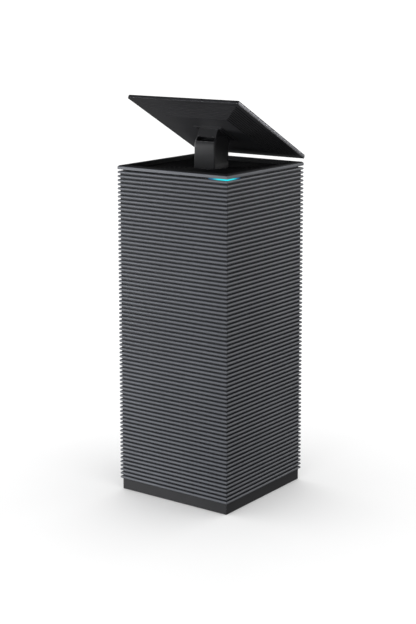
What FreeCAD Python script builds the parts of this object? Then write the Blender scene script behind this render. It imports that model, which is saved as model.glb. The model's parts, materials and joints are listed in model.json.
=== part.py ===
import FreeCAD, Part
import os
import Sketcher

# Touchscreen kiosk: a square column clad in mitred ribbed panels, with a recessed
# top, a fixed neck and a square display that tilts about a friction hinge.
# Millimetres. Origin: centre of the base plate's underside. +Z is up, the user
# stands at -Y, and +Y is the rear.

SIZES = {
    "column_width": 400,
    "column_height": 1000,
    "plinth_height": 35,
    "plinth_gap": 1,
    "rib_count": 79,
    "rib_depth": 6,
    "rib_root": 8.2,
    "rib_nose": 6.8,
    "rib_bite": 0.1,
    "nose_bulge": 2.2,
    "skin_thickness": 6,
    "seam_gap": 0.5,
    "groove_height": 6.2,
    "top_groove_drop": 15.1,
    "rim_width": 20.8,
    "rim_chamfer": 4,
    "rim_round": 2,
    "recess_depth": 13,
    "deck_thickness": 3,
    "deck_clearance": 0.5,
    "ring_count": 14,
    "ring_pitch": 14.6,
    "ring_first": 50.4,
    "ring_width": 6,
    "ring_crest": 2,
    "ring_rise": 1.2,
    "base_thickness": 8,
    "anchor_spacing": 260,
    "anchor_radius": 5.5,
    "grommet_hole_radius": 22,
    "grommet_seat_radius": 27,
    "grommet_lip": 4,
    "post_leg": 30,
    "post_wall": 3,
    "frame_height": 25,
    "frame_flange": 25,
    "shelf_height": 500,
    "shelf_thickness": 2,
    "player_width": 180,
    "player_length": 160,
    "player_height": 42,
    "supply_width": 160,
    "supply_length": 60,
    "supply_height": 38,
    "supply_back": 130,
    "harness_radius": 8,
    "button_radius": 5,
    "button_length": 6,
    "button_stand": 1.5,
    "button_clearance": 0.3,
    "button_side": 60,
    "stud_radius": 4,
    "stud_length": 12,
    "stud_clearance": 0.4,
    "stud_inset": 30,
    "stud_low": 120,
    "stud_high": 880,
    "socket_size": 20,
    "light_leg": 70,
    "light_height": 4.8,
    "light_gap": 0.15,
    "light_board": 1.5,
    "light_board_height": 4.1,
    "light_depth": 6.5,
    "neck_width": 76,
    "neck_length": 75,
    "neck_cheek": 5,
    "neck_wall": 4,
    "neck_floor": 4,
    "neck_round": 5,
    "front_lip_drop": 9,
    "cable_hole_radius": 15,
    "clamp_size": 110,
    "clamp_thickness": 6,
    "bolt_offset": 24,
    "bolt_radius": 3,
    "bolt_head_radius": 5,
    "bolt_head_height": 4,
    "hinge_height": 1052,
    "rest_tilt": 28,
    "shaft_radius": 6,
    "shaft_length": 72,
    "running_clearance": 0.05,
    "washer_radius": 14,
    "washer_thickness": 0.9,
    "grub_radius": 2,
    "grub_drop": 19,
    "grub_length": 4,
    "grub_inset": 0.5,
    "barrel_radius": 20,
    "barrel_length": 64,
    "head_width": 66,
    "head_length": 74,
    "head_bottom": 14.4,
    "head_wall": 4,
    "web_length": 28,
    "slot_width": 19,
    "slot_length": 6,
    "slot_edge": 3,
    "display_size": 400,
    "display_offset": 62.5,
    "display_thickness": 11,
    "display_corner": 3,
    "glass_thickness": 3,
    "glass_inset": 0.5,
    "chassis_wall": 19,
    "lcd_thickness": 6,
    "flange_thickness": 2,
    "step_first": 180,
    "step_pitch": 8.5,
    "step_rise": 1.6,
    "step_count": 9,
    "cover_wall": 2.5,
    "outer_cavity": 145,
    "outer_cavity_depth": 6,
    "inner_cavity": 110,
    "plate_width": 100,
    "plate_length": 92,
    "plate_thickness": 2,
    "plate_screw_x": 42,
    "plate_screw_y": 37,
    "plate_screw_radius": 2,
    "plate_head_radius": 4,
    "plate_head_height": 2.2,
    "bracket_thickness": 3,
    "backplate_thickness": 1.5,
    "backplate_clearance": 1,
    "cover_screw_line": 106,
    "cover_screw_pitch": 72,
    "cover_screw_radius": 1.4,
    "cover_head_radius": 2.8,
    "cover_head_height": 1.5,
    "screw_clearance": 0.2,
    "board_width": 120,
    "board_length": 50,
    "board_thickness": 1.6,
    "vent_count": 8,
    "vent_pitch": 12,
    "vent_width": 3,
    "vent_length": 60,
    "vent_back": 25,
    "overshoot": 1,
}

# Lengths worked out from the driving sizes; each is a cell with a formula.
DERIVED = {
    "half_width": "=column_width / 2",
    "valley": "=half_width - rib_depth",
    "core": "=valley - skin_thickness",
    "rib_pitch": "=(column_height - plinth_height) / rib_count",
    "panel_top": "=column_height - top_groove_drop - groove_height / 2",
    "rim_bottom": "=panel_top + groove_height",
    "first_rib": "=column_height - top_groove_drop - rib_pitch * (rib_count - 1.5)",
    "plinth_top": "=first_rib - rib_root / 2",
    "deck_top": "=column_height - recess_depth",
    "deck_bottom": "=deck_top - deck_thickness",
    "post_top": "=deck_bottom - frame_height",
    "shelf_top": "=shelf_height + shelf_thickness",
    "neck_bottom": "=deck_top",
    "front_lip": "=hinge_height - front_lip_drop",
    "display_back": "=display_offset - display_thickness / 2",
    "display_front": "=display_offset + display_thickness / 2",
    "glass_back": "=display_front - glass_thickness",
    "chassis_back": "=display_back + flange_thickness",
    "cover_low": "=display_back - step_rise * step_count",
    "head_top": "=cover_low - plate_thickness",
}

PLANES = {"xy": "XY_Plane", "xz": "XZ_Plane", "yz": "YZ_Plane", "z": "Z_Axis"}
SIDES = {"rear": 0, "left": 90, "front": 180, "right": 270}
REST_PLACE = ("placement(vector(0; 0; sizes.hinge_height); "
              "rotation(vector(1; 0; 0); sizes.rest_tilt))")

TINY = 1e-3
LEAST_CUT = 1

doc = FreeCAD.newDocument("Kiosk")
sheet = doc.addObject("Spreadsheet::Sheet", "sizes")
parts = []


def fill_sheet():
    cells = {name: str(value) for name, value in SIZES.items()}
    cells.update(DERIVED)
    for row, (name, value) in enumerate(cells.items(), start=1):
        sheet.set("A%d" % row, name)
        sheet.set("B%d" % row, value)
        sheet.setAlias("B%d" % row, name)
    doc.recompute()


def cells(text):
    """Turn bare size names into references to the sheet."""
    words = sorted(list(SIZES) + list(DERIVED), key=len, reverse=True)
    result = ""
    position = 0
    while position < len(text):
        found = next((w for w in words if text.startswith(w, position)), None)
        if found:
            result += "sizes." + found
            position += len(found)
        else:
            result += text[position]
            position += 1
    return result


def value(text):
    return float(sheet.evalExpression(cells(text)))


def bind(thing, field, text):
    thing.setExpression(field, cells(text))


# ---------------------------------------------------------------- part design

def new_body(label):
    body = doc.addObject("PartDesign::Body", label)
    body.Label = label
    parts.append(body)
    return body


def origin_feature(body, kind):
    role = PLANES[kind]
    return next(item for item in body.Origin.OriginFeatures if item.Role == role)


def new_sketch(body, name, kind="xy", lift="0"):
    sketch = body.newObject("Sketcher::SketchObject", name)
    sketch.AttachmentSupport = [(origin_feature(body, kind), "")]
    sketch.MapMode = "FlatFace"
    bind(sketch, ".AttachmentOffset.Base.z", lift)
    return sketch


def add_polygon(sketch, corners):
    """Closed outline whose every corner is driven by two expressions."""
    points = [FreeCAD.Vector(value(x), value(y), 0) for x, y in corners]
    first = sketch.GeometryCount
    count = len(points)
    for index in range(count):
        line = Part.LineSegment(points[index], points[(index + 1) % count])
        sketch.addGeometry(line)
    for index in range(count):
        following = (index + 1) % count
        sketch.addConstraint(Sketcher.Constraint(
            "Coincident", first + index, 2, first + following, 1))
    for index, (x, y) in enumerate(corners):
        pin_point(sketch, first + index, 1, x, y)


def pin_point(sketch, geometry, vertex, x, y):
    """Hold one vertex at signed distances from the sketch's own origin."""
    for kind, text in (("DistanceX", x), ("DistanceY", y)):
        number = sketch.addConstraint(Sketcher.Constraint(
            kind, -1, 1, geometry, vertex, value(text)))
        bind(sketch, "Constraints[%d]" % number, text)


def add_rectangle(sketch, half_x, half_y, centre_x="0", centre_y="0"):
    low_x = "(%s) - (%s)" % (centre_x, half_x)
    high_x = "(%s) + (%s)" % (centre_x, half_x)
    low_y = "(%s) - (%s)" % (centre_y, half_y)
    high_y = "(%s) + (%s)" % (centre_y, half_y)
    add_polygon(sketch, [(low_x, low_y), (high_x, low_y), (high_x, high_y), (low_x, high_y)])


def add_circle(sketch, radius, x="0", y="0"):
    centre = FreeCAD.Vector(value(x), value(y), 0)
    circle = Part.Circle(centre, FreeCAD.Vector(0, 0, 1), value(radius))
    number = sketch.addGeometry(circle)
    constraint = sketch.addConstraint(Sketcher.Constraint("Radius", number, value(radius)))
    bind(sketch, "Constraints[%d]" % constraint, radius)
    pin_point(sketch, number, 3, x, y)


def pad(body, sketch, length, midplane=False, downward=False):
    feature = body.newObject("PartDesign::Pad", sketch.Name + "_pad")
    feature.Profile = sketch
    feature.Midplane = midplane
    feature.Reversed = downward
    bind(feature, "Length", length)
    sketch.Visibility = False
    doc.recompute()
    return feature


def pocket(body, sketch, length, midplane=False, upward=False):
    """Cut the sketch into the body, and stop if nothing was removed."""
    before = body.Shape.Volume
    feature = body.newObject("PartDesign::Pocket", sketch.Name + "_pocket")
    feature.Profile = sketch
    feature.Midplane = midplane
    feature.Reversed = upward
    bind(feature, "Length", length)
    doc.recompute()
    if body.Shape.Volume > before - LEAST_CUT:
        raise RuntimeError("pocket %s removes nothing" % sketch.Name)
    return feature


def edges_where(shape, test):
    return ["Edge%d" % (number + 1) for number, edge in enumerate(shape.Edges) if test(edge)]


def round_edges(body, base, test, radius):
    feature = body.newObject("PartDesign::Fillet", base.Name + "_round")
    feature.Base = (base, edges_where(base.Shape, test))
    bind(feature, "Radius", radius)
    doc.recompute()
    return feature


def chamfer_edges(body, base, test, size):
    feature = body.newObject("PartDesign::Chamfer", base.Name + "_chamfer")
    feature.Base = (base, edges_where(base.Shape, test))
    bind(feature, "Size", size)
    doc.recompute()
    return feature


def is_upright(edge):
    box = edge.BoundBox
    return box.XLength < TINY and box.YLength < TINY and box.ZLength > TINY


def ride_display(thing):
    """Carry a piece drawn flat about the hinge axis to its rest tilt."""
    thing.setExpression("Placement", REST_PLACE)


# ----------------------------------------------------------- primitive solids

def make_box(label, low, high):
    """Box between two corners, each given as three expressions."""
    box = doc.addObject("Part::Box", label)
    for side, axis, start, end in zip(("Length", "Width", "Height"), "xyz", low, high):
        bind(box, side, "(%s) - (%s)" % (end, start))
        bind(box, "Placement.Base." + axis, start)
    return box


def make_rod(label, radius, length, start, direction=(0, 0, 1)):
    """Cylinder from a start point along a row axis."""
    rod = doc.addObject("Part::Cylinder", label)
    turn = FreeCAD.Rotation(FreeCAD.Vector(0, 0, 1), FreeCAD.Vector(*direction))
    rod.Placement = FreeCAD.Placement(FreeCAD.Vector(), turn)
    bind(rod, "Radius", radius)
    bind(rod, "Height", length)
    for axis, text in zip("xyz", start):
        bind(rod, "Placement.Base." + axis, text)
    return rod


def join(label, members):
    joined = doc.addObject("Part::MultiFuse", label)
    joined.Shapes = members
    return joined


def cut(label, base, tools):
    tool = tools[0] if len(tools) == 1 else join(label + "_tools", tools)
    result = doc.addObject("Part::Cut", label)
    result.Base = base
    result.Tool = tool
    return result


def keep(thing, label):
    thing.Label = label
    parts.append(thing)
    return thing


# ---------------------------------------------------------------- the column

def make_base_plate():
    """Steel foot plate: anchor holes at its corners and a cable hole in the middle."""
    plate = make_box("base_blank", ("-core", "-core", "0"), ("core", "core", "base_thickness"))
    holes = [make_rod("cable_hole", "grommet_seat_radius", "3 * base_thickness",
                      ("0", "0", "-base_thickness"))]
    for sign_x in "-+":
        for sign_y in "-+":
            start = (sign_x + "anchor_spacing / 2", sign_y + "anchor_spacing / 2", "-base_thickness")
            holes.append(make_rod("anchor_hole", "anchor_radius", "3 * base_thickness", start))
    keep(cut("base_plate_cut", plate, holes), "base_plate")


def make_cable_grommet():
    """Rubber ring in the plate's cable hole, with a lip above the plate."""
    body = new_body("cable_grommet")
    seat = new_sketch(body, "grommet_seat")
    add_circle(seat, "grommet_seat_radius")
    pad(body, seat, "base_thickness")
    lip = new_sketch(body, "grommet_lip_ring", lift="base_thickness")
    add_circle(lip, "grommet_seat_radius + grommet_lip")
    pad(body, lip, "grommet_lip")
    opening = new_sketch(body, "grommet_opening")
    add_circle(opening, "grommet_hole_radius")
    pocket(body, opening, "base_thickness + grommet_lip", upward=True)


def cut_mitres(body, name):
    """Trim both ends of a side piece at 45 degrees, half a seam short."""
    ends = new_sketch(body, name + "_mitres")
    inner = "core - rib_depth"
    outer = "half_width + rib_depth"
    for sign in ("-1", "1"):
        add_polygon(ends, [
            ("%s * (%s - seam_gap)" % (sign, inner), inner),
            ("%s * (%s - seam_gap)" % (sign, outer), outer),
            ("%s * (%s)" % (sign, outer), outer),
            ("%s * (%s)" % (sign, outer), inner),
        ])
    pocket(body, ends, "column_height", upward=True)


def make_plinth_board(side, angle):
    """Plain board under one ribbed panel, flush with the bottom of its grooves."""
    body = new_body("plinth_board_" + side)
    outline = new_sketch(body, side + "_board", "yz")
    add_polygon(outline, [("core", "plinth_gap"), ("valley", "plinth_gap"),
                          ("valley", "plinth_top"), ("core", "plinth_top")])
    pad(body, outline, "column_width", midplane=True)
    cut_mitres(body, side + "_board")
    body.Placement = FreeCAD.Placement(
        FreeCAD.Vector(), FreeCAD.Rotation(FreeCAD.Vector(0, 0, 1), angle))


def make_rib_panel(side, angle):
    """Flat skin with round-nosed horizontal ribs, mitred at both ends."""
    body = new_body("rib_panel_" + side)
    skin = new_sketch(body, side + "_skin", "yz")
    add_polygon(skin, [("core", "plinth_height"), ("valley", "plinth_height"),
                       ("valley", "panel_top"), ("core", "panel_top")])
    pad(body, skin, "column_width", midplane=True)
    rib = pad(body, rib_outline(body, side), "column_width", midplane=True)
    pattern = body.newObject("PartDesign::LinearPattern", side + "_ribs")
    pattern.Originals = [rib]
    pattern.Direction = (origin_feature(body, "z"), [""])
    bind(pattern, "Length", "rib_pitch * (rib_count - 2)")
    bind(pattern, "Occurrences", "rib_count - 1")
    body.Tip = pattern
    doc.recompute()
    cut_mitres(body, side + "_panel")
    body.Placement = FreeCAD.Placement(
        FreeCAD.Vector(), FreeCAD.Rotation(FreeCAD.Vector(0, 0, 1), angle))


def rib_outline(body, side):
    """Lowest rib: straight flanks that lean in, and an arc across the nose."""
    sketch = new_sketch(body, side + "_rib", "yz")
    root = "valley - rib_bite"
    nose = "half_width - nose_bulge"
    corners = [(root, "first_rib - rib_root / 2"), (nose, "first_rib - rib_nose / 2"),
               (nose, "first_rib + rib_nose / 2"), (root, "first_rib + rib_root / 2")]
    points = [FreeCAD.Vector(value(x), value(y), 0) for x, y in corners]
    tip = FreeCAD.Vector(value("half_width"), value("first_rib"), 0)
    sketch.addGeometry(Part.LineSegment(points[0], points[1]))
    sketch.addGeometry(Part.Arc(points[1], tip, points[2]))
    sketch.addGeometry(Part.LineSegment(points[2], points[3]))
    sketch.addGeometry(Part.LineSegment(points[3], points[0]))
    for first, first_end, second, second_end in ((0, 2, 1, 1), (1, 2, 2, 1), (2, 2, 3, 1), (3, 2, 0, 1)):
        sketch.addConstraint(Sketcher.Constraint(
            "Coincident", first, first_end, second, second_end))
    pin_point(sketch, 0, 1, *corners[0])
    pin_point(sketch, 0, 2, *corners[1])
    pin_point(sketch, 2, 1, *corners[2])
    pin_point(sketch, 2, 2, *corners[3])
    return sketch


def make_corner_post(front_back, left_right):
    """Steel angle that holds two panels; the front pair takes the panel catches."""
    y_sign = "-1" if front_back == "front" else "1"
    x_sign = "-1" if left_right == "left" else "1"
    name = "corner_post_%s_%s" % (front_back, left_right)
    legs = []
    for leg_x, leg_y in (("post_leg", "post_wall"), ("post_wall", "post_leg")):
        body_low = []
        body_high = []
        for sign, leg in ((x_sign, leg_x), (y_sign, leg_y)):
            near, far = ("core - " + leg, "core") if sign == "1" else ("-core", "-core + " + leg)
            body_low.append(near)
            body_high.append(far)
        legs.append(make_box(name + "_leg", body_low + ["base_thickness"], body_high + ["post_top"]))
    angle = join(name + "_angle", legs)
    if front_back == "rear":
        keep(angle, name)
        return
    holes = []
    for height in ("stud_low", "stud_high"):
        start = ("%s * (half_width - stud_inset)" % x_sign, "-half_width", height)
        holes.append(make_rod(name + "_hole", "stud_radius + stud_clearance",
                              "post_leg", start, (0, 1, 0)))
    keep(cut(name + "_cut", angle, holes), name)


def make_top_frame():
    """Angle ring on the posts that carries the deck."""
    outer = make_box("frame_outer", ("-core", "-core", "post_top"), ("core", "core", "deck_bottom"))
    web = "core - post_wall"
    under = make_box("frame_under", ("-(%s)" % web, "-(%s)" % web, "post_top - overshoot"),
                     (web, web, "deck_bottom - post_wall"))
    inner = "core - frame_flange"
    opening = make_box("frame_opening", ("-(%s)" % inner, "-(%s)" % inner, "post_top - overshoot"),
                       (inner, inner, "deck_bottom + overshoot"))
    keep(cut("top_frame_cut", outer, [under, opening]), "top_frame")


def make_recess_deck():
    """Floor of the recess: low concentric ridges around a flat seat for the neck."""
    body = new_body("recess_deck")
    plate = new_sketch(body, "deck_plate", lift="deck_bottom")
    add_rectangle(plate, "core", "core")
    pad(body, plate, "deck_thickness")
    ridges = new_sketch(body, "deck_ridges", "xz")
    for number in range(int(value("ring_count"))):
        middle = "ring_first + %d * ring_pitch" % number
        add_polygon(ridges, [(middle + " - ring_width / 2", "deck_top"),
                             (middle + " + ring_width / 2", "deck_top"),
                             (middle + " + ring_crest / 2", "deck_top + ring_rise"),
                             (middle + " - ring_crest / 2", "deck_top + ring_rise")])
    turned = body.newObject("PartDesign::Revolution", "deck_rings")
    turned.Profile = ridges
    turned.ReferenceAxis = (ridges, ["V_Axis"])
    turned.Angle = 360
    doc.recompute()
    border = new_sketch(body, "deck_border", lift="deck_top")
    add_rectangle(border, "column_width", "column_width")
    inside = "half_width - rim_width - deck_clearance"
    add_rectangle(border, inside, inside)
    add_rectangle(border, "neck_width / 2 + deck_clearance", "neck_length / 2 + deck_clearance")
    pocket(body, border, "recess_depth", upward=True)
    holes = new_sketch(body, "deck_holes", lift="deck_bottom")
    add_circle(holes, "cable_hole_radius")
    add_bolt_circles(holes, "bolt_radius + screw_clearance")
    pocket(body, holes, "deck_thickness", upward=True)


def add_bolt_circles(sketch, radius):
    for sign_x in "-+":
        for sign_y in "-+":
            add_circle(sketch, radius, sign_x + "bolt_offset", sign_y + "bolt_offset")


def make_top_rim():
    """Square moulding that finishes the top; its nose is the uppermost rib."""
    body = new_body("top_rim")
    seat = new_sketch(body, "rim_seat", lift="deck_top")
    add_rectangle(seat, "core", "core")
    pad(body, seat, "recess_depth")
    nose = new_sketch(body, "rim_nose", lift="rim_bottom")
    add_rectangle(nose, "half_width", "half_width")
    block = pad(body, nose, "column_height - rim_bottom")
    limit = value("half_width") - TINY
    top = value("column_height") - TINY
    bottom = value("rim_bottom") + TINY

    def is_outer(edge):
        box = edge.BoundBox
        return max(abs(box.XMin), abs(box.XMax)) > limit and max(abs(box.YMin), abs(box.YMax)) > limit

    shaped = chamfer_edges(body, block, lambda e: is_outer(e) and e.BoundBox.ZMin > top, "rim_chamfer")
    round_edges(body, shaped, lambda e: is_outer(e) and e.BoundBox.ZMax < bottom, "rim_round")
    opening = new_sketch(body, "rim_opening", lift="deck_top")
    add_rectangle(opening, "half_width - rim_width", "half_width - rim_width")
    pocket(body, opening, "recess_depth", upward=True)


def make_corner_light(label, inside, outside, height):
    """L-shaped bar in the top groove, around the rear left corner."""
    body = new_body(label)
    outline = new_sketch(body, label + "_outline", lift="rim_bottom - light_gap - %s" % height)
    end = "half_width - light_leg"
    add_polygon(outline, [
        ("-(%s)" % outside, outside), ("-(%s)" % outside, end), ("-(%s)" % inside, end),
        ("-(%s)" % inside, inside), ("-(%s)" % end, inside), ("-(%s)" % end, outside),
    ])
    pad(body, outline, height)


# -------------------------------------------------------- inside the column

def make_equipment_shelf():
    """Shelf between the posts with a hole for the mains lead."""
    reach = "core - post_wall"
    blank = make_box("shelf_blank", ("-(%s)" % reach, "-(%s)" % reach, "shelf_height"),
                     (reach, reach, "shelf_top"))
    hole = make_rod("shelf_hole", "grommet_hole_radius", "3 * shelf_thickness",
                    ("-supply_back", "supply_back", "shelf_height - shelf_thickness"))
    keep(cut("equipment_shelf_cut", blank, [hole]), "equipment_shelf")


def make_media_player():
    """Small computer on the shelf, with lid vents and a button hole in front."""
    body = new_body("media_player")
    case = new_sketch(body, "player_case", lift="shelf_top")
    add_rectangle(case, "player_width / 2", "player_length / 2")
    block = pad(body, case, "player_height")
    round_edges(body, block, is_upright, "neck_round")
    slots = new_sketch(body, "player_vents", lift="shelf_top + player_height")
    for number in range(int(value("vent_count"))):
        middle = "(%d - (vent_count - 1) / 2) * vent_pitch" % number
        add_rectangle(slots, "vent_width / 2", "vent_length / 2", middle, "vent_back")
    pocket(body, slots, "vent_width")
    button = new_sketch(body, "button_hole", "xz", lift="player_length / 2")
    add_circle(button, "button_radius + button_clearance", "button_side",
               "shelf_top + player_height / 2")
    pocket(body, button, "button_length")


def make_player_button():
    """Power button that stands out of the player's front."""
    start = ("button_side", "-player_length / 2 - button_stand",
             "shelf_top + player_height / 2")
    button = make_rod("button_rod", "button_radius", "button_length - button_stand", start, (0, 1, 0))
    keep(button, "player_button")


def make_power_supply():
    body = new_body("power_supply")
    case = new_sketch(body, "supply_case", lift="shelf_top")
    add_rectangle(case, "supply_width / 2", "supply_length / 2", "0", "supply_back")
    block = pad(body, case, "supply_height")
    round_edges(body, block, is_upright, "neck_round")


def make_display_harness():
    """Straight conduit from the neck's foot down to the player's lid."""
    start = ("0", "0", "shelf_top + player_height")
    length = "deck_bottom - clamp_thickness - shelf_top - player_height"
    keep(make_rod("harness_rod", "harness_radius", length, start), "display_harness")


# ------------------------------------------------------------ service panel

def stud_places():
    for sign in ("-1", "1"):
        for height in ("stud_low", "stud_high"):
            yield "%s * (half_width - stud_inset)" % sign, height


def make_catches():
    """Studs on the front panel, and the sprung sockets that grip them."""
    studs = [make_rod("stud", "stud_radius", "stud_length", (x, "-core", z), (0, 1, 0))
             for x, z in stud_places()]
    keep(join("catch_stud_set", studs), "catch_studs")
    sockets = []
    for x, z in stud_places():
        block = make_box("socket_block",
                         (x + " - socket_size / 2", "-core + post_wall", z + " - socket_size / 2"),
                         (x + " + socket_size / 2", "-core + post_wall + stud_length",
                          z + " + socket_size / 2"))
        bore = make_rod("socket_bore", "stud_radius + stud_clearance", "2 * socket_size",
                        (x, "-core", z), (0, 1, 0))
        sockets.append(cut("socket_cut", block, [bore]))
    keep(join("catch_socket_set", sockets), "catch_sockets")


# ------------------------------------------------------------ neck and hinge

def make_neck_yoke():
    """Hollow square neck whose two cheeks end in half circles about the hinge."""
    body = new_body("neck_yoke")
    outline = neck_outline(body)
    block = pad(body, outline, "neck_width", midplane=True)
    side = value("neck_width / 2") - TINY
    rounded = round_edges(
        body, block, lambda e: is_upright(e) and abs(e.BoundBox.XMin) > side, "neck_round")
    body.Tip = rounded
    hollow = new_sketch(body, "neck_hollow", lift="neck_bottom + neck_floor")
    add_rectangle(hollow, "neck_width / 2 - neck_cheek", "neck_length / 2 - neck_wall")
    pocket(body, hollow, "neck_length * 2", upward=True)
    front = new_sketch(body, "neck_front_gap", lift="front_lip")
    add_rectangle(front, "neck_width / 2 - neck_cheek", "neck_length / 4", "0", "-neck_length / 2")
    pocket(body, front, "neck_length", upward=True)
    bores = new_sketch(body, "neck_bores", "yz")
    add_circle(bores, "shaft_radius", "0", "hinge_height")
    pocket(body, bores, "shaft_length", midplane=True)
    grubs = new_sketch(body, "grub_holes", "yz")
    add_circle(grubs, "grub_radius", "0", "hinge_height - grub_drop")
    pocket(body, grubs, "neck_width + 2 * overshoot", midplane=True)
    holes = new_sketch(body, "neck_floor_holes", lift="neck_bottom")
    add_circle(holes, "cable_hole_radius")
    add_bolt_circles(holes, "bolt_radius")
    pocket(body, holes, "neck_floor", upward=True)


def neck_outline(body):
    """Side view of the neck: a post with a semicircular top."""
    sketch = new_sketch(body, "neck_side", "yz")
    half = "neck_length / 2"
    low_left = FreeCAD.Vector(-value(half), value("neck_bottom"), 0)
    low_right = FreeCAD.Vector(value(half), value("neck_bottom"), 0)
    top_right = FreeCAD.Vector(value(half), value("hinge_height"), 0)
    crown = FreeCAD.Vector(0, value("hinge_height") + value(half), 0)
    top_left = FreeCAD.Vector(-value(half), value("hinge_height"), 0)
    sketch.addGeometry(Part.LineSegment(low_left, low_right))
    sketch.addGeometry(Part.LineSegment(low_right, top_right))
    sketch.addGeometry(Part.Arc(top_right, crown, top_left))
    sketch.addGeometry(Part.LineSegment(top_left, low_left))
    for first, first_end, second, second_end in ((0, 2, 1, 1), (1, 2, 2, 1), (2, 2, 3, 1), (3, 2, 0, 1)):
        sketch.addConstraint(Sketcher.Constraint(
            "Coincident", first, first_end, second, second_end))
    pin_point(sketch, 0, 1, "-(%s)" % half, "neck_bottom")
    pin_point(sketch, 0, 2, half, "neck_bottom")
    pin_point(sketch, 1, 2, half, "hinge_height")
    pin_point(sketch, 3, 1, "-(%s)" % half, "hinge_height")
    return sketch


def make_neck_clamp():
    """Plate under the deck, with the bolts that pull the neck down onto it."""
    half = "clamp_size / 2"
    blank = make_box("clamp_blank", ("-" + half, "-" + half, "deck_bottom - clamp_thickness"),
                     (half, half, "deck_bottom"))
    low = "deck_bottom - clamp_thickness"
    holes = [make_rod("clamp_cable_hole", "harness_radius", "3 * clamp_thickness",
                      ("0", "0", low + " - clamp_thickness"))]
    bolts = []
    for sign_x in "-+":
        for sign_y in "-+":
            x, y = sign_x + "bolt_offset", sign_y + "bolt_offset"
            holes.append(make_rod("clamp_hole", "bolt_radius + screw_clearance",
                                  "3 * clamp_thickness", (x, y, low + " - clamp_thickness")))
            bolts.append(make_rod("bolt_head", "bolt_head_radius", "bolt_head_height",
                                  (x, y, low + " - bolt_head_height")))
            bolts.append(make_rod("bolt_shank", "bolt_radius",
                                  "clamp_thickness + deck_thickness + neck_floor", (x, y, low)))
    keep(cut("neck_clamp_cut", blank, holes), "neck_clamp_plate")
    keep(join("neck_bolt_set", bolts), "neck_bolts")


def make_hinge_hardware():
    """Pivot shaft, friction washers and the two grub screws in the cheeks."""
    keep(make_rod("shaft_rod", "shaft_radius", "shaft_length",
                  ("-shaft_length / 2", "0", "hinge_height"), (1, 0, 0)), "pivot_shaft")
    inside = "neck_width / 2 - neck_cheek"
    washers = []
    grubs = []
    for washer_start, grub_start in (
            (inside + " - washer_thickness", inside + " + grub_inset"),
            ("-(%s)" % inside, "-(%s) - grub_inset - grub_length" % inside)):
        disc = make_rod("washer_disc", "washer_radius", "washer_thickness",
                        (washer_start, "0", "hinge_height"), (1, 0, 0))
        bore = make_rod("washer_bore", "shaft_radius + running_clearance", "3 * washer_thickness",
                        (washer_start + " - washer_thickness", "0", "hinge_height"), (1, 0, 0))
        washers.append(cut("washer_cut", disc, [bore]))
        grubs.append(make_rod("grub", "grub_radius", "grub_length",
                              (grub_start, "0", "hinge_height - grub_drop"), (1, 0, 0)))
    keep(join("washer_set", washers), "friction_washers")
    keep(join("grub_set", grubs), "grub_screws")


# ------------------------------------------------- display, drawn flat at first

def make_tilt_head():
    """Hollow block under the display on a barrel that turns on the shaft."""
    body = new_body("tilt_head")
    block = new_sketch(body, "head_block", lift="head_bottom")
    add_rectangle(block, "head_width / 2", "head_length / 2")
    pad(body, block, "head_top - head_bottom")
    web = new_sketch(body, "head_web", "yz")
    add_polygon(web, [("-web_length / 2", "0"), ("web_length / 2", "0"),
                      ("web_length / 2", "head_bottom + overshoot"),
                      ("-web_length / 2", "head_bottom + overshoot")])
    pad(body, web, "barrel_length", midplane=True)
    barrel = new_sketch(body, "head_barrel", "yz")
    add_circle(barrel, "barrel_radius")
    pad(body, barrel, "barrel_length", midplane=True)
    bore = new_sketch(body, "head_bore", "yz")
    add_circle(bore, "shaft_radius + running_clearance")
    pocket(body, bore, "neck_width", midplane=True)
    hollow = new_sketch(body, "head_hollow", lift="head_top")
    add_rectangle(hollow, "head_width / 2 - head_wall", "head_length / 2 - head_wall")
    pocket(body, hollow, "head_top - barrel_radius - head_wall / 2")
    slot = new_sketch(body, "head_slot", lift="head_bottom")
    add_rectangle(slot, "slot_width / 2", "slot_length / 2", "0",
                  "head_length / 2 - slot_edge - slot_length / 2 - head_wall / 2")
    pocket(body, slot, "head_top - head_bottom", upward=True)
    ride_display(body)


def flat_plate(label, low, thickness, half_x, half_y, corner=None):
    """Plate drawn flat at a height above the hinge axis."""
    body = new_body(label)
    sketch = new_sketch(body, label + "_outline", lift=low)
    add_rectangle(sketch, half_x, half_y)
    block = pad(body, sketch, thickness)
    if corner:
        round_edges(body, block, is_upright, corner)
    return body


def add_screw_circles(sketch, radius):
    for sign_x in "-+":
        for sign_y in "-+":
            add_circle(sketch, radius, sign_x + "plate_screw_x", sign_y + "plate_screw_y")


def cover_screw_places():
    """Three screws along each side of the rear cover's flat."""
    for along in ("-cover_screw_pitch", "0", "cover_screw_pitch"):
        for across in ("-cover_screw_line", "cover_screw_line"):
            yield along, across
            yield across, along


def make_mounting_plate():
    body = flat_plate("mounting_plate", "head_top", "plate_thickness",
                      "plate_width / 2", "plate_length / 2", "display_corner")
    holes = new_sketch(body, "plate_holes", lift="head_top")
    add_circle(holes, "cable_hole_radius")
    add_screw_circles(holes, "plate_screw_radius + screw_clearance")
    pocket(body, holes, "plate_thickness", upward=True)
    ride_display(body)


def make_mount_bracket():
    """Stiffener inside the rear cover that the mounting screws thread into."""
    low = "cover_low + cover_wall"
    body = flat_plate("mount_bracket", low, "bracket_thickness",
                      "board_width / 2", "plate_length / 2")
    holes = new_sketch(body, "bracket_holes", lift=low)
    add_circle(holes, "cable_hole_radius")
    add_screw_circles(holes, "plate_screw_radius")
    pocket(body, holes, "bracket_thickness", upward=True)
    ride_display(body)


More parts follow.
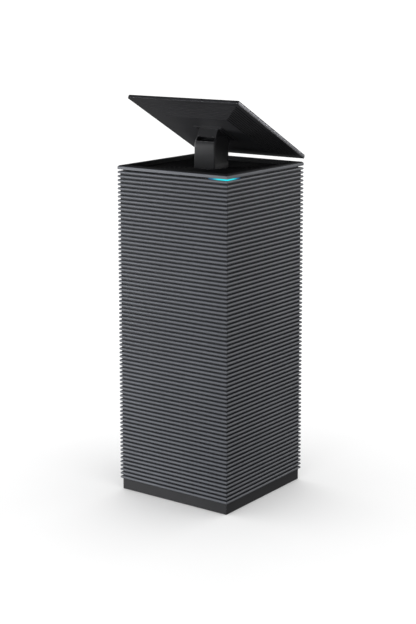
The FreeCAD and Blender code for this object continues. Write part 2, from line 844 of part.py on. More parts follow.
def make_rear_cover():
    """Thin shell whose back steps down in concentric square terraces."""
    body = new_body("rear_cover")
    flange = new_sketch(body, "cover_flange", lift="display_back")
    add_rectangle(flange, "display_size / 2", "display_size / 2")
    block = pad(body, flange, "flange_thickness")
    round_edges(body, block, is_upright, "display_corner")
    for step in range(int(value("step_count"))):
        terrace = new_sketch(body, "terrace_%d" % step, lift="display_back - %d * step_rise" % step)
        half = "step_first - %d * step_pitch" % step
        add_rectangle(terrace, half, half)
        pad(body, terrace, "step_rise", downward=True)
    outer = new_sketch(body, "cover_outer_cavity", lift="chassis_back")
    add_rectangle(outer, "outer_cavity", "outer_cavity")
    pocket(body, outer, "outer_cavity_depth")
    inner = new_sketch(body, "cover_inner_cavity", lift="chassis_back")
    add_rectangle(inner, "inner_cavity", "inner_cavity")
    pocket(body, inner, "chassis_back - cover_low - cover_wall")
    holes = new_sketch(body, "cover_holes", lift="cover_low")
    add_circle(holes, "cable_hole_radius")
    add_screw_circles(holes, "plate_screw_radius + screw_clearance")
    for x, y in cover_screw_places():
        add_circle(holes, "cover_screw_radius + screw_clearance", x, y)
    pocket(body, holes, "cover_wall", upward=True)
    sinks = new_sketch(body, "cover_sinks", lift="cover_low")
    for x, y in cover_screw_places():
        add_circle(sinks, "cover_head_radius + screw_clearance", x, y)
    pocket(body, sinks, "cover_head_height", upward=True)
    ride_display(body)


def make_display_chassis():
    """Metal band around the panel's edge."""
    body = flat_plate("display_chassis", "chassis_back", "glass_back - chassis_back",
                      "display_size / 2", "display_size / 2", "display_corner")
    window = new_sketch(body, "chassis_window", lift="chassis_back")
    inside = "display_size / 2 - chassis_wall"
    add_rectangle(window, inside, inside)
    pocket(body, window, "display_thickness", upward=True)
    ride_display(body)


def make_display_layers():
    """Screen module, cover glass, backing sheet and touch board."""
    inside = "display_size / 2 - chassis_wall - glass_inset"
    ride_display(flat_plate("lcd_panel", "glass_back - lcd_thickness", "lcd_thickness", inside, inside))
    outside = "display_size / 2 - glass_inset"
    ride_display(flat_plate("touch_glass", "glass_back", "glass_thickness",
                            outside, outside, "display_corner"))
    sheet_low = "chassis_back - backplate_thickness"
    backing = flat_plate("display_backplate", sheet_low, "backplate_thickness",
                         "outer_cavity - backplate_clearance", "outer_cavity - backplate_clearance")
    holes = new_sketch(backing, "backplate_holes", lift=sheet_low)
    for x, y in cover_screw_places():
        add_circle(holes, "cover_screw_radius", x, y)
    pocket(backing, holes, "backplate_thickness", upward=True)
    ride_display(backing)
    ride_display(flat_plate("touch_controller", sheet_low + " - board_thickness",
                            "board_thickness", "board_width / 2", "board_length / 2"))


def make_screw_set(label, places, seat, head_radius, head_height, shank_radius, shank_end, sunk):
    """Pan-head screws that point up into the display from a seat plane."""
    members = []
    head_low = seat if sunk else "%s - %s" % (seat, head_height)
    shank_low = "%s + %s" % (seat, head_height) if sunk else seat
    for x, y in places:
        members.append(make_rod(label + "_head", head_radius, head_height, (x, y, head_low)))
        members.append(make_rod(label + "_shank", shank_radius,
                                "%s - (%s)" % (shank_end, shank_low), (x, y, shank_low)))
    ride_display(keep(join(label + "_set", members), label))


def make_display_screws():
    corners = [(sign_x + "plate_screw_x", sign_y + "plate_screw_y")
               for sign_x in "-+" for sign_y in "-+"]
    make_screw_set("mounting_screws", corners, "head_top", "plate_head_radius", "plate_head_height",
                   "plate_screw_radius", "cover_low + cover_wall + bracket_thickness", False)
    make_screw_set("cover_screws", cover_screw_places(), "cover_low", "cover_head_radius",
                   "cover_head_height", "cover_screw_radius", "chassis_back", True)


# --------------------------------------------------------------------- build

def build():
    fill_sheet()
    make_base_plate()
    make_cable_grommet()
    for side, angle in SIDES.items():
        make_plinth_board(side, angle)
        make_rib_panel(side, angle)
    for front_back in ("front", "rear"):
        for left_right in ("left", "right"):
            make_corner_post(front_back, left_right)
    make_top_frame()
    make_recess_deck()
    make_top_rim()
    make_corner_light("light_board", "core", "core + light_board", "light_board_height")
    make_corner_light("light_diffuser", "core + light_board",
                      "core + light_board + light_depth", "light_height")
    make_equipment_shelf()
    make_media_player()
    make_player_button()
    make_power_supply()
    make_display_harness()
    make_catches()
    make_neck_yoke()
    make_neck_clamp()
    make_hinge_hardware()
    make_tilt_head()
    make_mounting_plate()
    make_mount_bracket()
    make_rear_cover()
    make_display_chassis()
    make_display_layers()
    make_display_screws()
    doc.recompute()


def check():
    """Stop before anything is written if a feature failed or a shape is unsound."""
    for item in doc.Objects:
        if "Invalid" in item.State or "Error" in item.State:
            raise RuntimeError("%s did not compute: %s" % (item.Name, item.State))
    for part in parts:
        if part.Shape.isNull() or not part.Shape.isValid():
            raise RuntimeError("%s has no sound shape" % part.Label)


def write():
    os.makedirs("parts", exist_ok=True)
    for part in parts:
        part.Shape.exportStep("parts/%s.step" % part.Label)
        print("%-26s %2d solids %10.1f mm3" % (part.Label, len(part.Shape.Solids), part.Shape.Volume))


build()
check()
write()
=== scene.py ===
import json
import math

import bmesh
import bpy
from bpy.props import FloatProperty, FloatVectorProperty, IntProperty, PointerProperty
from bpy.types import Operator, Panel, PropertyGroup
from mathutils import Matrix, Vector

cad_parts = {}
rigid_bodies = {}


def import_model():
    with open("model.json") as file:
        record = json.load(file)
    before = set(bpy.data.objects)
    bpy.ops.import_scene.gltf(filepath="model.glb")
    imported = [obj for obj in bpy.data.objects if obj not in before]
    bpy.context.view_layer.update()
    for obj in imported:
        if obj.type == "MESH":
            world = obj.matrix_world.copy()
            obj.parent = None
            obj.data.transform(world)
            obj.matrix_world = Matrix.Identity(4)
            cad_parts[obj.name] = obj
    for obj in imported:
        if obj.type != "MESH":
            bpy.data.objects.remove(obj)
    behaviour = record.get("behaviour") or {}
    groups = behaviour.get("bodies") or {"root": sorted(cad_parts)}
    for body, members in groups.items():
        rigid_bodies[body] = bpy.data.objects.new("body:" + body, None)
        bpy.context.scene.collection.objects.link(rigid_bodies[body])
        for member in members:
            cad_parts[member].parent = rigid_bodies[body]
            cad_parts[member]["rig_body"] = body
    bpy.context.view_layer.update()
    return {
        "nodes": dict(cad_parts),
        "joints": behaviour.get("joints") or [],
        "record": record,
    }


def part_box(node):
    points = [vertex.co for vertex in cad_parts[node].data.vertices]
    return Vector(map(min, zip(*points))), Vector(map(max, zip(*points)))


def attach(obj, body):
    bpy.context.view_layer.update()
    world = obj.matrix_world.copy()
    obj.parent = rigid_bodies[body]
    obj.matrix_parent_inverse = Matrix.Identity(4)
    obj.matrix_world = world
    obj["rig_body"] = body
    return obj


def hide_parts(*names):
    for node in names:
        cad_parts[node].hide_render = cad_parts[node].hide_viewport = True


bl_info = {
    "name": "Touchscreen kiosk",
    "version": (1, 0, 0),
    "blender": (4, 5, 0),
    "location": "3D View > Sidebar > Kiosk",
    "description": "Dresses the packed kiosk frame with its finished pieces, materials and stage",
    "category": "Object",
}

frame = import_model()
nodes_by_name = frame["nodes"]
record = frame["record"]

MM = 0.001
QUARTER_TURN = math.radians(90)
FLOOR_LIGHT_ANGLE = math.radians(160)
WELD = 0.01 * MM
FLAT_ANGLE = math.radians(1)
SHARP_ANGLE = math.radians(32)
LONG_EDGE = 30 * MM
UPRIGHT_SHARE = 0.9
ARC_STEPS = 8
SENSOR_WIDTH = 36
SIDES = ("rear", "left", "front", "right")

# Softboxes: name, place, height aimed at, width and depth, share of the key's power, colour.
SOFTBOXES = (
    ("rear_box", (0.6, 4, 1.2), 0.6, (4, 1.8), 0.29, (0.95, 0.97, 1)),
    ("side_box", (-4, 0.4, 1), 0.6, (3, 1.4), 0.09, (1, 0.99, 0.98)),
    ("low_box", (2.6, 1.2, 0.3), 1.1, (1.5, 0.8), 0.45, (1, 1, 1)),
    ("front_box", (-2.2, -3.6, 1.8), 0.6, (4, 1.6), 0.55, (1, 1, 1)),
    ("far_box", (4, 1, 1.4), 0.6, (2.4, 1.6), 0.36, (1, 1, 1)),
)
FLOOR_LIGHT_HEIGHT = 3

# Spacing of nodes in the node editor, and the sockets of a Mix node.
COLUMN_GAP = 230
ROW_GAP = 260
MIX_SHARE = 0
MIX_FIRST = 6
MIX_SECOND = 7
MIX_RESULT = 2


def record_colour(slot):
    """Base colour that the record gives a material slot."""
    return next(entry["base_color"][:3] for entry in record["materials"] if entry["slot"] == slot)


def slot_of(node):
    return next(entry["material_slot"] for entry in record["subparts"] if entry["node"] == node)


def shade(colour, factor):
    """The same colour made lighter or darker, with an alpha of one."""
    return [min(channel * factor, 1) for channel in colour[:3]] + [1]


def hinge_point():
    joint = next(entry for entry in frame["joints"] if entry["child"] == "display")
    return Vector(joint["pos_m"])


def display_matrix():
    """Place of the display's own flat frame: origin on the hinge axis, Z out of the screen."""
    glass = nodes_by_name["touch_glass"].data
    face = max(glass.polygons, key=lambda polygon: polygon.area)
    normal = face.normal if face.normal.z > 0 else -face.normal
    tilt = math.atan2(-normal.y, normal.z)
    return Matrix.Translation(hinge_point()) @ Matrix.Rotation(tilt, 4, "X")


def flat_box(node):
    """Lowest and highest corner of a display node in the display's own flat frame."""
    inverse = display_matrix().inverted()
    points = [inverse @ vertex.co for vertex in nodes_by_name[node].data.vertices]
    low = Vector([min(point[axis] for point in points) for axis in range(3)])
    high = Vector([max(point[axis] for point in points) for axis in range(3)])
    return low, high


# ------------------------------------------------------------------- settings

class ColumnSettings(PropertyGroup):
    """Sizes and colours of the ribbed column."""
    coat: FloatVectorProperty(
        name="Coat", description="Powder coat of the ribbed panels and the rim",
        subtype="COLOR", size=3, min=0, max=1, default=record_colour("rib_finish"))
    plinth: FloatVectorProperty(
        name="Plinth", description="Powder coat of the plain boards at the foot",
        subtype="COLOR", size=3, min=0, max=1, default=(0.028, 0.028, 0.03))
    ribs: IntProperty(name="Ribs", description="Ribs on each panel", default=78, min=1)
    rib_root: FloatProperty(
        name="Rib root", description="Height of a rib where it leaves the panel",
        unit="LENGTH", default=8.2 * MM)
    rib_nose: FloatProperty(
        name="Rib nose", description="Height of a rib where its rounded nose begins",
        unit="LENGTH", default=6.8 * MM)
    rib_bulge: FloatProperty(
        name="Nose bulge", description="How far the rounded nose stands out",
        unit="LENGTH", default=2.2 * MM)
    rib_depth: FloatProperty(
        name="Rib depth", description="Depth of the grooves between the ribs",
        unit="LENGTH", default=6 * MM)
    seam: FloatProperty(
        name="Seam", description="Setback of each mitred end", unit="LENGTH", default=0.5 * MM)
    arris: FloatProperty(
        name="Arris", description="Rounding of the sharp edges", unit="LENGTH", default=0.35 * MM)


class RimSettings(PropertyGroup):
    """Finish of the moulding round the recess, with its painted shade and painted highlight."""
    edge: FloatProperty(
        name="Edge", description="Rounding of the moulding's sharp edges",
        unit="LENGTH", default=0.5 * MM)
    # Outer band of the rim that gets a painted highlight; the rim's top inside it gets painted shade.
    painted_highlight_depth: FloatProperty(
        name="Painted highlight", description="Depth of the outermost part given a painted highlight, with painted shade inside it",
        unit="LENGTH", default=2.4 * MM)


class HeadSettings(PropertyGroup):
    """Colours and sizes of the neck and the display."""
    neck: FloatVectorProperty(
        name="Neck", description="Satin coat of the neck and the tilt head",
        subtype="COLOR", size=3, min=0, max=1, default=(0.014, 0.014, 0.0155))
    cover: FloatVectorProperty(
        name="Cover", description="Coat of the display's stepped rear cover",
        subtype="COLOR", size=3, min=0, max=1, default=(0.024, 0.024, 0.026))
    edge: FloatVectorProperty(
        name="Edge", description="Anodised band around the display",
        subtype="COLOR", size=3, min=0, max=1, default=record_colour("edge_finish"))
    glow: FloatVectorProperty(
        name="Glow", description="Colour of the corner light",
        subtype="COLOR", size=3, min=0, max=1, default=(0.001, 0.62, 0.68))
    glow_strength: FloatProperty(
        name="Glow strength", description="Brightness of the corner light", default=1.35, min=0)
    soft_edge: FloatProperty(
        name="Soft edge", description="Rounding of the sheet metal edges",
        unit="LENGTH", default=0.5 * MM)
    neck_corner: FloatProperty(
        name="Neck corner", description="Rounding of the neck's upright corners",
        unit="LENGTH", default=1.5 * MM)
    glass_edge: FloatProperty(
        name="Glass edge", description="Ground edge of the cover glass",
        unit="LENGTH", default=0.6 * MM)
    glass_corner: FloatProperty(
        name="Glass corner", description="Corner radius of the cover glass",
        unit="LENGTH", default=3 * MM)


class StageSettings(PropertyGroup):
    """Camera, lights and floor."""
    azimuth: FloatProperty(
        name="Azimuth", description="Direction of the view, 0 looks along +Y",
        subtype="ANGLE", default=math.radians(215.896))
    elevation: FloatProperty(
        name="Elevation", description="Height of the view above level",
        subtype="ANGLE", default=math.radians(8.937))
    distance: FloatProperty(
        name="Distance", description="From the lens to the column's axis", unit="LENGTH", default=4.313)
    aim: FloatProperty(
        name="Aim", description="Height on the column's axis that the lens points at",
        unit="LENGTH", default=0.849)
    lens: FloatProperty(name="Lens", description="Focal length in millimetres", default=82.65)
    shift_side: FloatProperty(name="Side shift", description="Lens shift sideways", default=-0.0056)
    shift_up: FloatProperty(name="Rise", description="Lens shift upwards", default=-0.1584)
    floor: FloatVectorProperty(
        name="Floor", description="Pale studio floor",
        subtype="COLOR", size=3, min=0, max=1, default=(0.86, 0.86, 0.86))
    floor_light: FloatProperty(
        name="Floor light", description="Strength of the light that falls on the floor",
        default=3.65, min=0)
    ambient: FloatProperty(
        name="Ambient", description="Light that reaches the object from all round",
        default=0.12, min=0)
    key: FloatProperty(
        name="Key", description="Power of the brightest softbox in watts", default=260, min=0)
    floor_size: FloatProperty(name="Floor size", description="Width of the floor",
                              unit="LENGTH", default=300)


class KioskSettings(PropertyGroup):
    """All settings of the kiosk."""
    column: PointerProperty(type=ColumnSettings)
    rim: PointerProperty(type=RimSettings)
    head: PointerProperty(type=HeadSettings)
    stage: PointerProperty(type=StageSettings)


# ------------------------------------------------------------------ materials

def empty_material(name):
    """New material with an empty node tree, and its lists of nodes and links."""
    material = bpy.data.materials.new(name)
    material.use_nodes = True
    material.node_tree.nodes.clear()
    return material, material.node_tree.nodes, material.node_tree.links


def lay_out(columns):
    """Place nodes on the node editor's sheet, column by column."""
    for column, members in enumerate(columns):
        for row, node in enumerate(members):
            node.location = (column * COLUMN_GAP, -row * ROW_GAP)


def powder_coat(name, colour, worn, roughness, peel_size, gloss_level, wear_radius=1.2 * MM):
    """Sprayed and baked coat: faint mottling, fine orange peel and rubbed edges."""
    material, nodes, links = empty_material(name)

    tone_frame = nodes.new("NodeFrame")
    tone_frame.label = "Mottled colour"
    wear_frame = nodes.new("NodeFrame")
    wear_frame.label = "Rubbed edges"
    skin_frame = nodes.new("NodeFrame")
    skin_frame.label = "Orange peel"

    place = nodes.new("ShaderNodeTexCoord")
    place.label = "Place on the piece"
    cloud = nodes.new("ShaderNodeTexNoise")
    cloud.label = "Slow change of thickness"
    tone = nodes.new("ShaderNodeValToRGB")
    tone.label = "Thin to thick coat"
    rounded = nodes.new("ShaderNodeBevel")
    rounded.label = "Direction, rounded near edges"
    true_normal = nodes.new("ShaderNodeNewGeometry")
    true_normal.label = "Direction of the face"
    agreement = nodes.new("ShaderNodeVectorMath")
    agreement.label = "Falls off at an edge"
    edge = nodes.new("ShaderNodeMapRange")
    edge.label = "Edge band"
    scuff = nodes.new("ShaderNodeTexNoise")
    scuff.label = "Scuffs"
    patches = nodes.new("ShaderNodeMapRange")
    patches.label = "Where the rub broke through"
    broken = nodes.new("ShaderNodeMath")
    broken.label = "Broken edge wear"
    coat = nodes.new("ShaderNodeMix")
    coat.label = "Coat or rubbed coat"
    peel = nodes.new("ShaderNodeTexNoise")
    peel.label = "Peel texture"
    gloss = nodes.new("ShaderNodeMapRange")
    gloss.label = "Uneven satin"
    relief = nodes.new("ShaderNodeBump")
    relief.label = "Peel relief"
    shader = nodes.new("ShaderNodeBsdfPrincipled")
    shader.label = "Powder coat"
    output = nodes.new("ShaderNodeOutputMaterial")
    output.label = "Surface"

    for node in (cloud, tone):
        node.parent = tone_frame
    for node in (rounded, true_normal, agreement, edge, scuff, patches, broken, coat):
        node.parent = wear_frame
    for node in (peel, gloss, relief):
        node.parent = skin_frame
    columns = ((place,), (cloud, rounded, true_normal, scuff, peel), (tone, agreement, patches, gloss),
               (edge, broken, relief), (coat,), (shader,), (output,))
    lay_out(columns)

    cloud.inputs["Scale"].default_value = 7
    cloud.inputs["Detail"].default_value = 4
    tone.color_ramp.elements[0].position = 0.3
    tone.color_ramp.elements[0].color = shade(colour, 0.9)
    tone.color_ramp.elements[1].position = 0.7
    tone.color_ramp.elements[1].color = shade(colour, 1.1)
    rounded.samples = 4
    rounded.inputs["Radius"].default_value = wear_radius
    agreement.operation = "DOT_PRODUCT"
    edge.inputs["From Min"].default_value = 0.998
    edge.inputs["From Max"].default_value = 0.85
    scuff.inputs["Scale"].default_value = 90
    scuff.inputs["Detail"].default_value = 6
    patches.inputs["From Min"].default_value = 0.4
    patches.inputs["From Max"].default_value = 0.62
    broken.operation = "MULTIPLY"
    coat.data_type = "RGBA"
    coat.inputs[MIX_SECOND].default_value = shade(worn, 1)
    peel.inputs["Scale"].default_value = 1 / peel_size
    peel.inputs["Detail"].default_value = 2
    gloss.inputs["To Min"].default_value = roughness - 0.07
    gloss.inputs["To Max"].default_value = roughness + 0.07
    relief.inputs["Strength"].default_value = 0.22
    relief.inputs["Distance"].default_value = 0.06 * MM
    shader.inputs["Metallic"].default_value = 0
    shader.inputs["IOR"].default_value = 1.5
    shader.inputs["Specular IOR Level"].default_value = gloss_level

    links.new(place.outputs["Object"], cloud.inputs["Vector"])
    links.new(place.outputs["Object"], scuff.inputs["Vector"])
    links.new(place.outputs["Object"], peel.inputs["Vector"])
    links.new(cloud.outputs["Fac"], tone.inputs["Fac"])
    links.new(rounded.outputs["Normal"], agreement.inputs[0])
    links.new(true_normal.outputs["Normal"], agreement.inputs[1])
    links.new(agreement.outputs["Value"], edge.inputs["Value"])
    links.new(scuff.outputs["Fac"], patches.inputs["Value"])
    links.new(edge.outputs["Result"], broken.inputs[0])
    links.new(patches.outputs["Result"], broken.inputs[1])
    links.new(broken.outputs["Value"], coat.inputs[MIX_SHARE])
    links.new(tone.outputs["Color"], coat.inputs[MIX_FIRST])
    links.new(coat.outputs[MIX_RESULT], shader.inputs["Base Color"])
    links.new(peel.outputs["Fac"], gloss.inputs["Value"])
    links.new(gloss.outputs["Result"], shader.inputs["Roughness"])
    links.new(peel.outputs["Fac"], relief.inputs["Height"])
    links.new(relief.outputs["Normal"], shader.inputs["Normal"])
    links.new(shader.outputs["BSDF"], output.inputs["Surface"])
    return material


def ribbed_coat_with_painted_shade(name, colour, valley, nose):
    """Satin coat on the ribs: duller in the grooves and smoother on the noses, with painted shade that
    darkens the grooves and a painted highlight that makes the noses paler.
    """
    material, nodes, links = empty_material(name)

    depth_frame = nodes.new("NodeFrame")
    depth_frame.label = "From groove floor to rib nose"
    # This frame holds the coat's mottling and also its painted groove shade and painted nose highlight.
    tone_frame = nodes.new("NodeFrame")
    tone_frame.label = "Colour of the coat"
    skin_frame = nodes.new("NodeFrame")
    skin_frame.label = "Fine texture and satin"

    place = nodes.new("ShaderNodeTexCoord")
    place.label = "Place on the column"
    axes = nodes.new("ShaderNodeSeparateXYZ")
    axes.label = "Sideways, back and up"
    across = nodes.new("ShaderNodeMath")
    across.label = "Distance sideways"
    back = nodes.new("ShaderNodeMath")
    back.label = "Distance back"
    outward = nodes.new("ShaderNodeMath")
    outward.label = "Distance from the axis"
    depth = nodes.new("ShaderNodeMapRange")
    depth.label = "0 in the groove, 1 on the nose"
    cloud = nodes.new("ShaderNodeTexNoise")
    cloud.label = "Slow mottling"
    tone = nodes.new("ShaderNodeValToRGB")
    tone.label = "Thin to thick coat"
    # Noise that breaks up the edge of the painted shade in the grooves.
    shade_noise = nodes.new("ShaderNodeTexNoise")
    shade_noise.label = "Noise at the edge of the painted groove shade"
    stretch = nodes.new("ShaderNodeMapping")
    stretch.label = "Drawn out along the ribs"
    shade_depth = nodes.new("ShaderNodeMath")
    shade_depth.label = "Noise breaks up the painted shade"
    # Ramp of painted shade in the grooves and painted highlight on the noses.
    groove = nodes.new("ShaderNodeValToRGB")
    groove.label = "Painted groove shade and nose highlight"
    coat = nodes.new("ShaderNodeMix")
    coat.label = "Coat with painted shade and highlight"
    peel = nodes.new("ShaderNodeTexNoise")
    peel.label = "Orange peel"
    gloss = nodes.new("ShaderNodeMapRange")
    gloss.label = "Handled noses are smoother"
    relief = nodes.new("ShaderNodeBump")
    relief.label = "Peel relief"
    shader = nodes.new("ShaderNodeBsdfPrincipled")
    shader.label = "Satin powder coat"
    output = nodes.new("ShaderNodeOutputMaterial")
    output.label = "Surface"

    for node in (axes, across, back, outward, depth):
        node.parent = depth_frame
    for node in (cloud, tone, stretch, shade_noise, shade_depth, groove, coat):
        node.parent = tone_frame
    for node in (peel, gloss, relief):
        node.parent = skin_frame
    columns = ((place,), (axes, stretch, cloud, peel), (across, back, shade_noise, tone), (outward, relief),
               (depth, gloss), (shade_depth,), (groove,), (coat,), (shader,), (output,))
    lay_out(columns)

    across.operation = "ABSOLUTE"
    back.operation = "ABSOLUTE"
    outward.operation = "MAXIMUM"
    depth.inputs["From Min"].default_value = valley
    depth.inputs["From Max"].default_value = nose
    cloud.inputs["Scale"].default_value = 5
    cloud.inputs["Detail"].default_value = 5
    tone.color_ramp.elements[0].position = 0.3
    tone.color_ramp.elements[0].color = shade(colour, 0.92)
    tone.color_ramp.elements[1].position = 0.7
    tone.color_ramp.elements[1].color = shade(colour, 1.08)
    stretch.inputs["Scale"].default_value = (9, 9, 60)
    shade_noise.inputs["Scale"].default_value = 4
    shade_noise.inputs["Detail"].default_value = 6
    # Depth into the painted shade: groove depth with a little noise added.
    shade_depth.operation = "MULTIPLY_ADD"
    shade_depth.inputs[1].default_value = 0.16
    # Painted shade: the groove floor and lower flanks drop to 8 per cent of the coat's colour.
    groove.color_ramp.elements[0].position = 0.4
    groove.color_ramp.elements[0].color = (0.08, 0.08, 0.085, 1)
    groove.color_ramp.elements[1].position = 0.8
    groove.color_ramp.elements[1].color = (1, 1, 1, 1)
    # Painted highlight: the noses are made paler than the coat.
    painted_nose_highlight = groove.color_ramp.elements.new(1)
    painted_nose_highlight.color = (1.12, 1.12, 1.1, 1)
    coat.data_type = "RGBA"
    coat.blend_type = "MULTIPLY"
    coat.inputs[MIX_SHARE].default_value = 1
    peel.inputs["Scale"].default_value = 1400
    peel.inputs["Detail"].default_value = 2
    gloss.inputs["To Min"].default_value = 0.62
    gloss.inputs["To Max"].default_value = 0.44
    relief.inputs["Strength"].default_value = 0.25
    relief.inputs["Distance"].default_value = 0.06 * MM
    shader.inputs["Metallic"].default_value = 0
    shader.inputs["IOR"].default_value = 1.5
    shader.inputs["Specular IOR Level"].default_value = 0.2

    links.new(place.outputs["Object"], axes.inputs["Vector"])
    links.new(place.outputs["Object"], stretch.inputs["Vector"])
    links.new(place.outputs["Object"], cloud.inputs["Vector"])
    links.new(place.outputs["Object"], peel.inputs["Vector"])
    links.new(axes.outputs["X"], across.inputs[0])
    links.new(axes.outputs["Y"], back.inputs[0])
    links.new(across.outputs["Value"], outward.inputs[0])
    links.new(back.outputs["Value"], outward.inputs[1])
    links.new(outward.outputs["Value"], depth.inputs["Value"])
    links.new(stretch.outputs["Vector"], shade_noise.inputs["Vector"])
    links.new(shade_noise.outputs["Fac"], shade_depth.inputs[0])
    links.new(depth.outputs["Result"], shade_depth.inputs[2])
    links.new(shade_depth.outputs["Value"], groove.inputs["Fac"])
    links.new(cloud.outputs["Fac"], tone.inputs["Fac"])
    links.new(tone.outputs["Color"], coat.inputs[MIX_FIRST])
    links.new(groove.outputs["Color"], coat.inputs[MIX_SECOND])
    links.new(coat.outputs[MIX_RESULT], shader.inputs["Base Color"])
    links.new(depth.outputs["Result"], gloss.inputs["Value"])
    links.new(gloss.outputs["Result"], shader.inputs["Roughness"])
    links.new(peel.outputs["Fac"], relief.inputs["Height"])
    links.new(relief.outputs["Normal"], shader.inputs["Normal"])
    links.new(shader.outputs["BSDF"], output.inputs["Surface"])
    return material


def plated_metal(name, colour, worn, roughness, grain_size, spangle_size):
    """Plated or anodised metal: faint crystal patches, fine grain and bright rubbed edges."""
    material, nodes, links = empty_material(name)

    tone_frame = nodes.new("NodeFrame")
    tone_frame.label = "Crystal patches"
    wear_frame = nodes.new("NodeFrame")
    wear_frame.label = "Bright edges"
    skin_frame = nodes.new("NodeFrame")
    skin_frame.label = "Grain"

    place = nodes.new("ShaderNodeTexCoord")
    place.label = "Place on the piece"
    spangle = nodes.new("ShaderNodeTexVoronoi")
    spangle.label = "Crystals of the plating"
    tone = nodes.new("ShaderNodeValToRGB")
    tone.label = "Dull to bright crystal"
    rounded = nodes.new("ShaderNodeBevel")
    rounded.label = "Direction, rounded near edges"
    true_normal = nodes.new("ShaderNodeNewGeometry")
    true_normal.label = "Direction of the face"
    agreement = nodes.new("ShaderNodeVectorMath")
    agreement.label = "Falls off at an edge"
    edge = nodes.new("ShaderNodeMapRange")
    edge.label = "Edge band"
    metal = nodes.new("ShaderNodeMix")
    metal.label = "Plating or bare edge"
    grain = nodes.new("ShaderNodeTexNoise")
    grain.label = "Blasted grain"
    gloss = nodes.new("ShaderNodeMapRange")
    gloss.label = "Uneven lustre"
    relief = nodes.new("ShaderNodeBump")
    relief.label = "Grain relief"
    shader = nodes.new("ShaderNodeBsdfPrincipled")
    shader.label = "Metal"
    output = nodes.new("ShaderNodeOutputMaterial")
    output.label = "Surface"

    for node in (spangle, tone):
        node.parent = tone_frame
    for node in (rounded, true_normal, agreement, edge, metal):
        node.parent = wear_frame
    for node in (grain, gloss, relief):
        node.parent = skin_frame
    columns = ((place,), (spangle, rounded, true_normal, grain), (tone, agreement, gloss),
               (edge, relief), (metal,), (shader,), (output,))
    lay_out(columns)

    spangle.inputs["Scale"].default_value = 1 / spangle_size
    tone.color_ramp.elements[0].color = shade(colour, 0.8)
    tone.color_ramp.elements[1].color = shade(colour, 1.15)
    rounded.samples = 4
    rounded.inputs["Radius"].default_value = 0.6 * MM
    agreement.operation = "DOT_PRODUCT"
    edge.inputs["From Min"].default_value = 0.99
    edge.inputs["From Max"].default_value = 0.8
    metal.data_type = "RGBA"
    metal.inputs[MIX_SECOND].default_value = shade(worn, 1)
    grain.inputs["Scale"].default_value = 1 / grain_size
    grain.inputs["Detail"].default_value = 3
    gloss.inputs["To Min"].default_value = roughness - 0.08
    gloss.inputs["To Max"].default_value = roughness + 0.08
    relief.inputs["Strength"].default_value = 0.15
    relief.inputs["Distance"].default_value = 0.03 * MM
    shader.inputs["Metallic"].default_value = 1

    links.new(place.outputs["Object"], spangle.inputs["Vector"])
    links.new(place.outputs["Object"], grain.inputs["Vector"])
    links.new(spangle.outputs["Color"], tone.inputs["Fac"])
    links.new(rounded.outputs["Normal"], agreement.inputs[0])
    links.new(true_normal.outputs["Normal"], agreement.inputs[1])
    links.new(agreement.outputs["Value"], edge.inputs["Value"])
    links.new(edge.outputs["Result"], metal.inputs[MIX_SHARE])
    links.new(tone.outputs["Color"], metal.inputs[MIX_FIRST])
    links.new(metal.outputs[MIX_RESULT], shader.inputs["Base Color"])
    links.new(grain.outputs["Fac"], gloss.inputs["Value"])
    links.new(gloss.outputs["Result"], shader.inputs["Roughness"])
    links.new(grain.outputs["Fac"], relief.inputs["Height"])
    links.new(relief.outputs["Normal"], shader.inputs["Normal"])
    links.new(shader.outputs["BSDF"], output.inputs["Surface"])
    return material


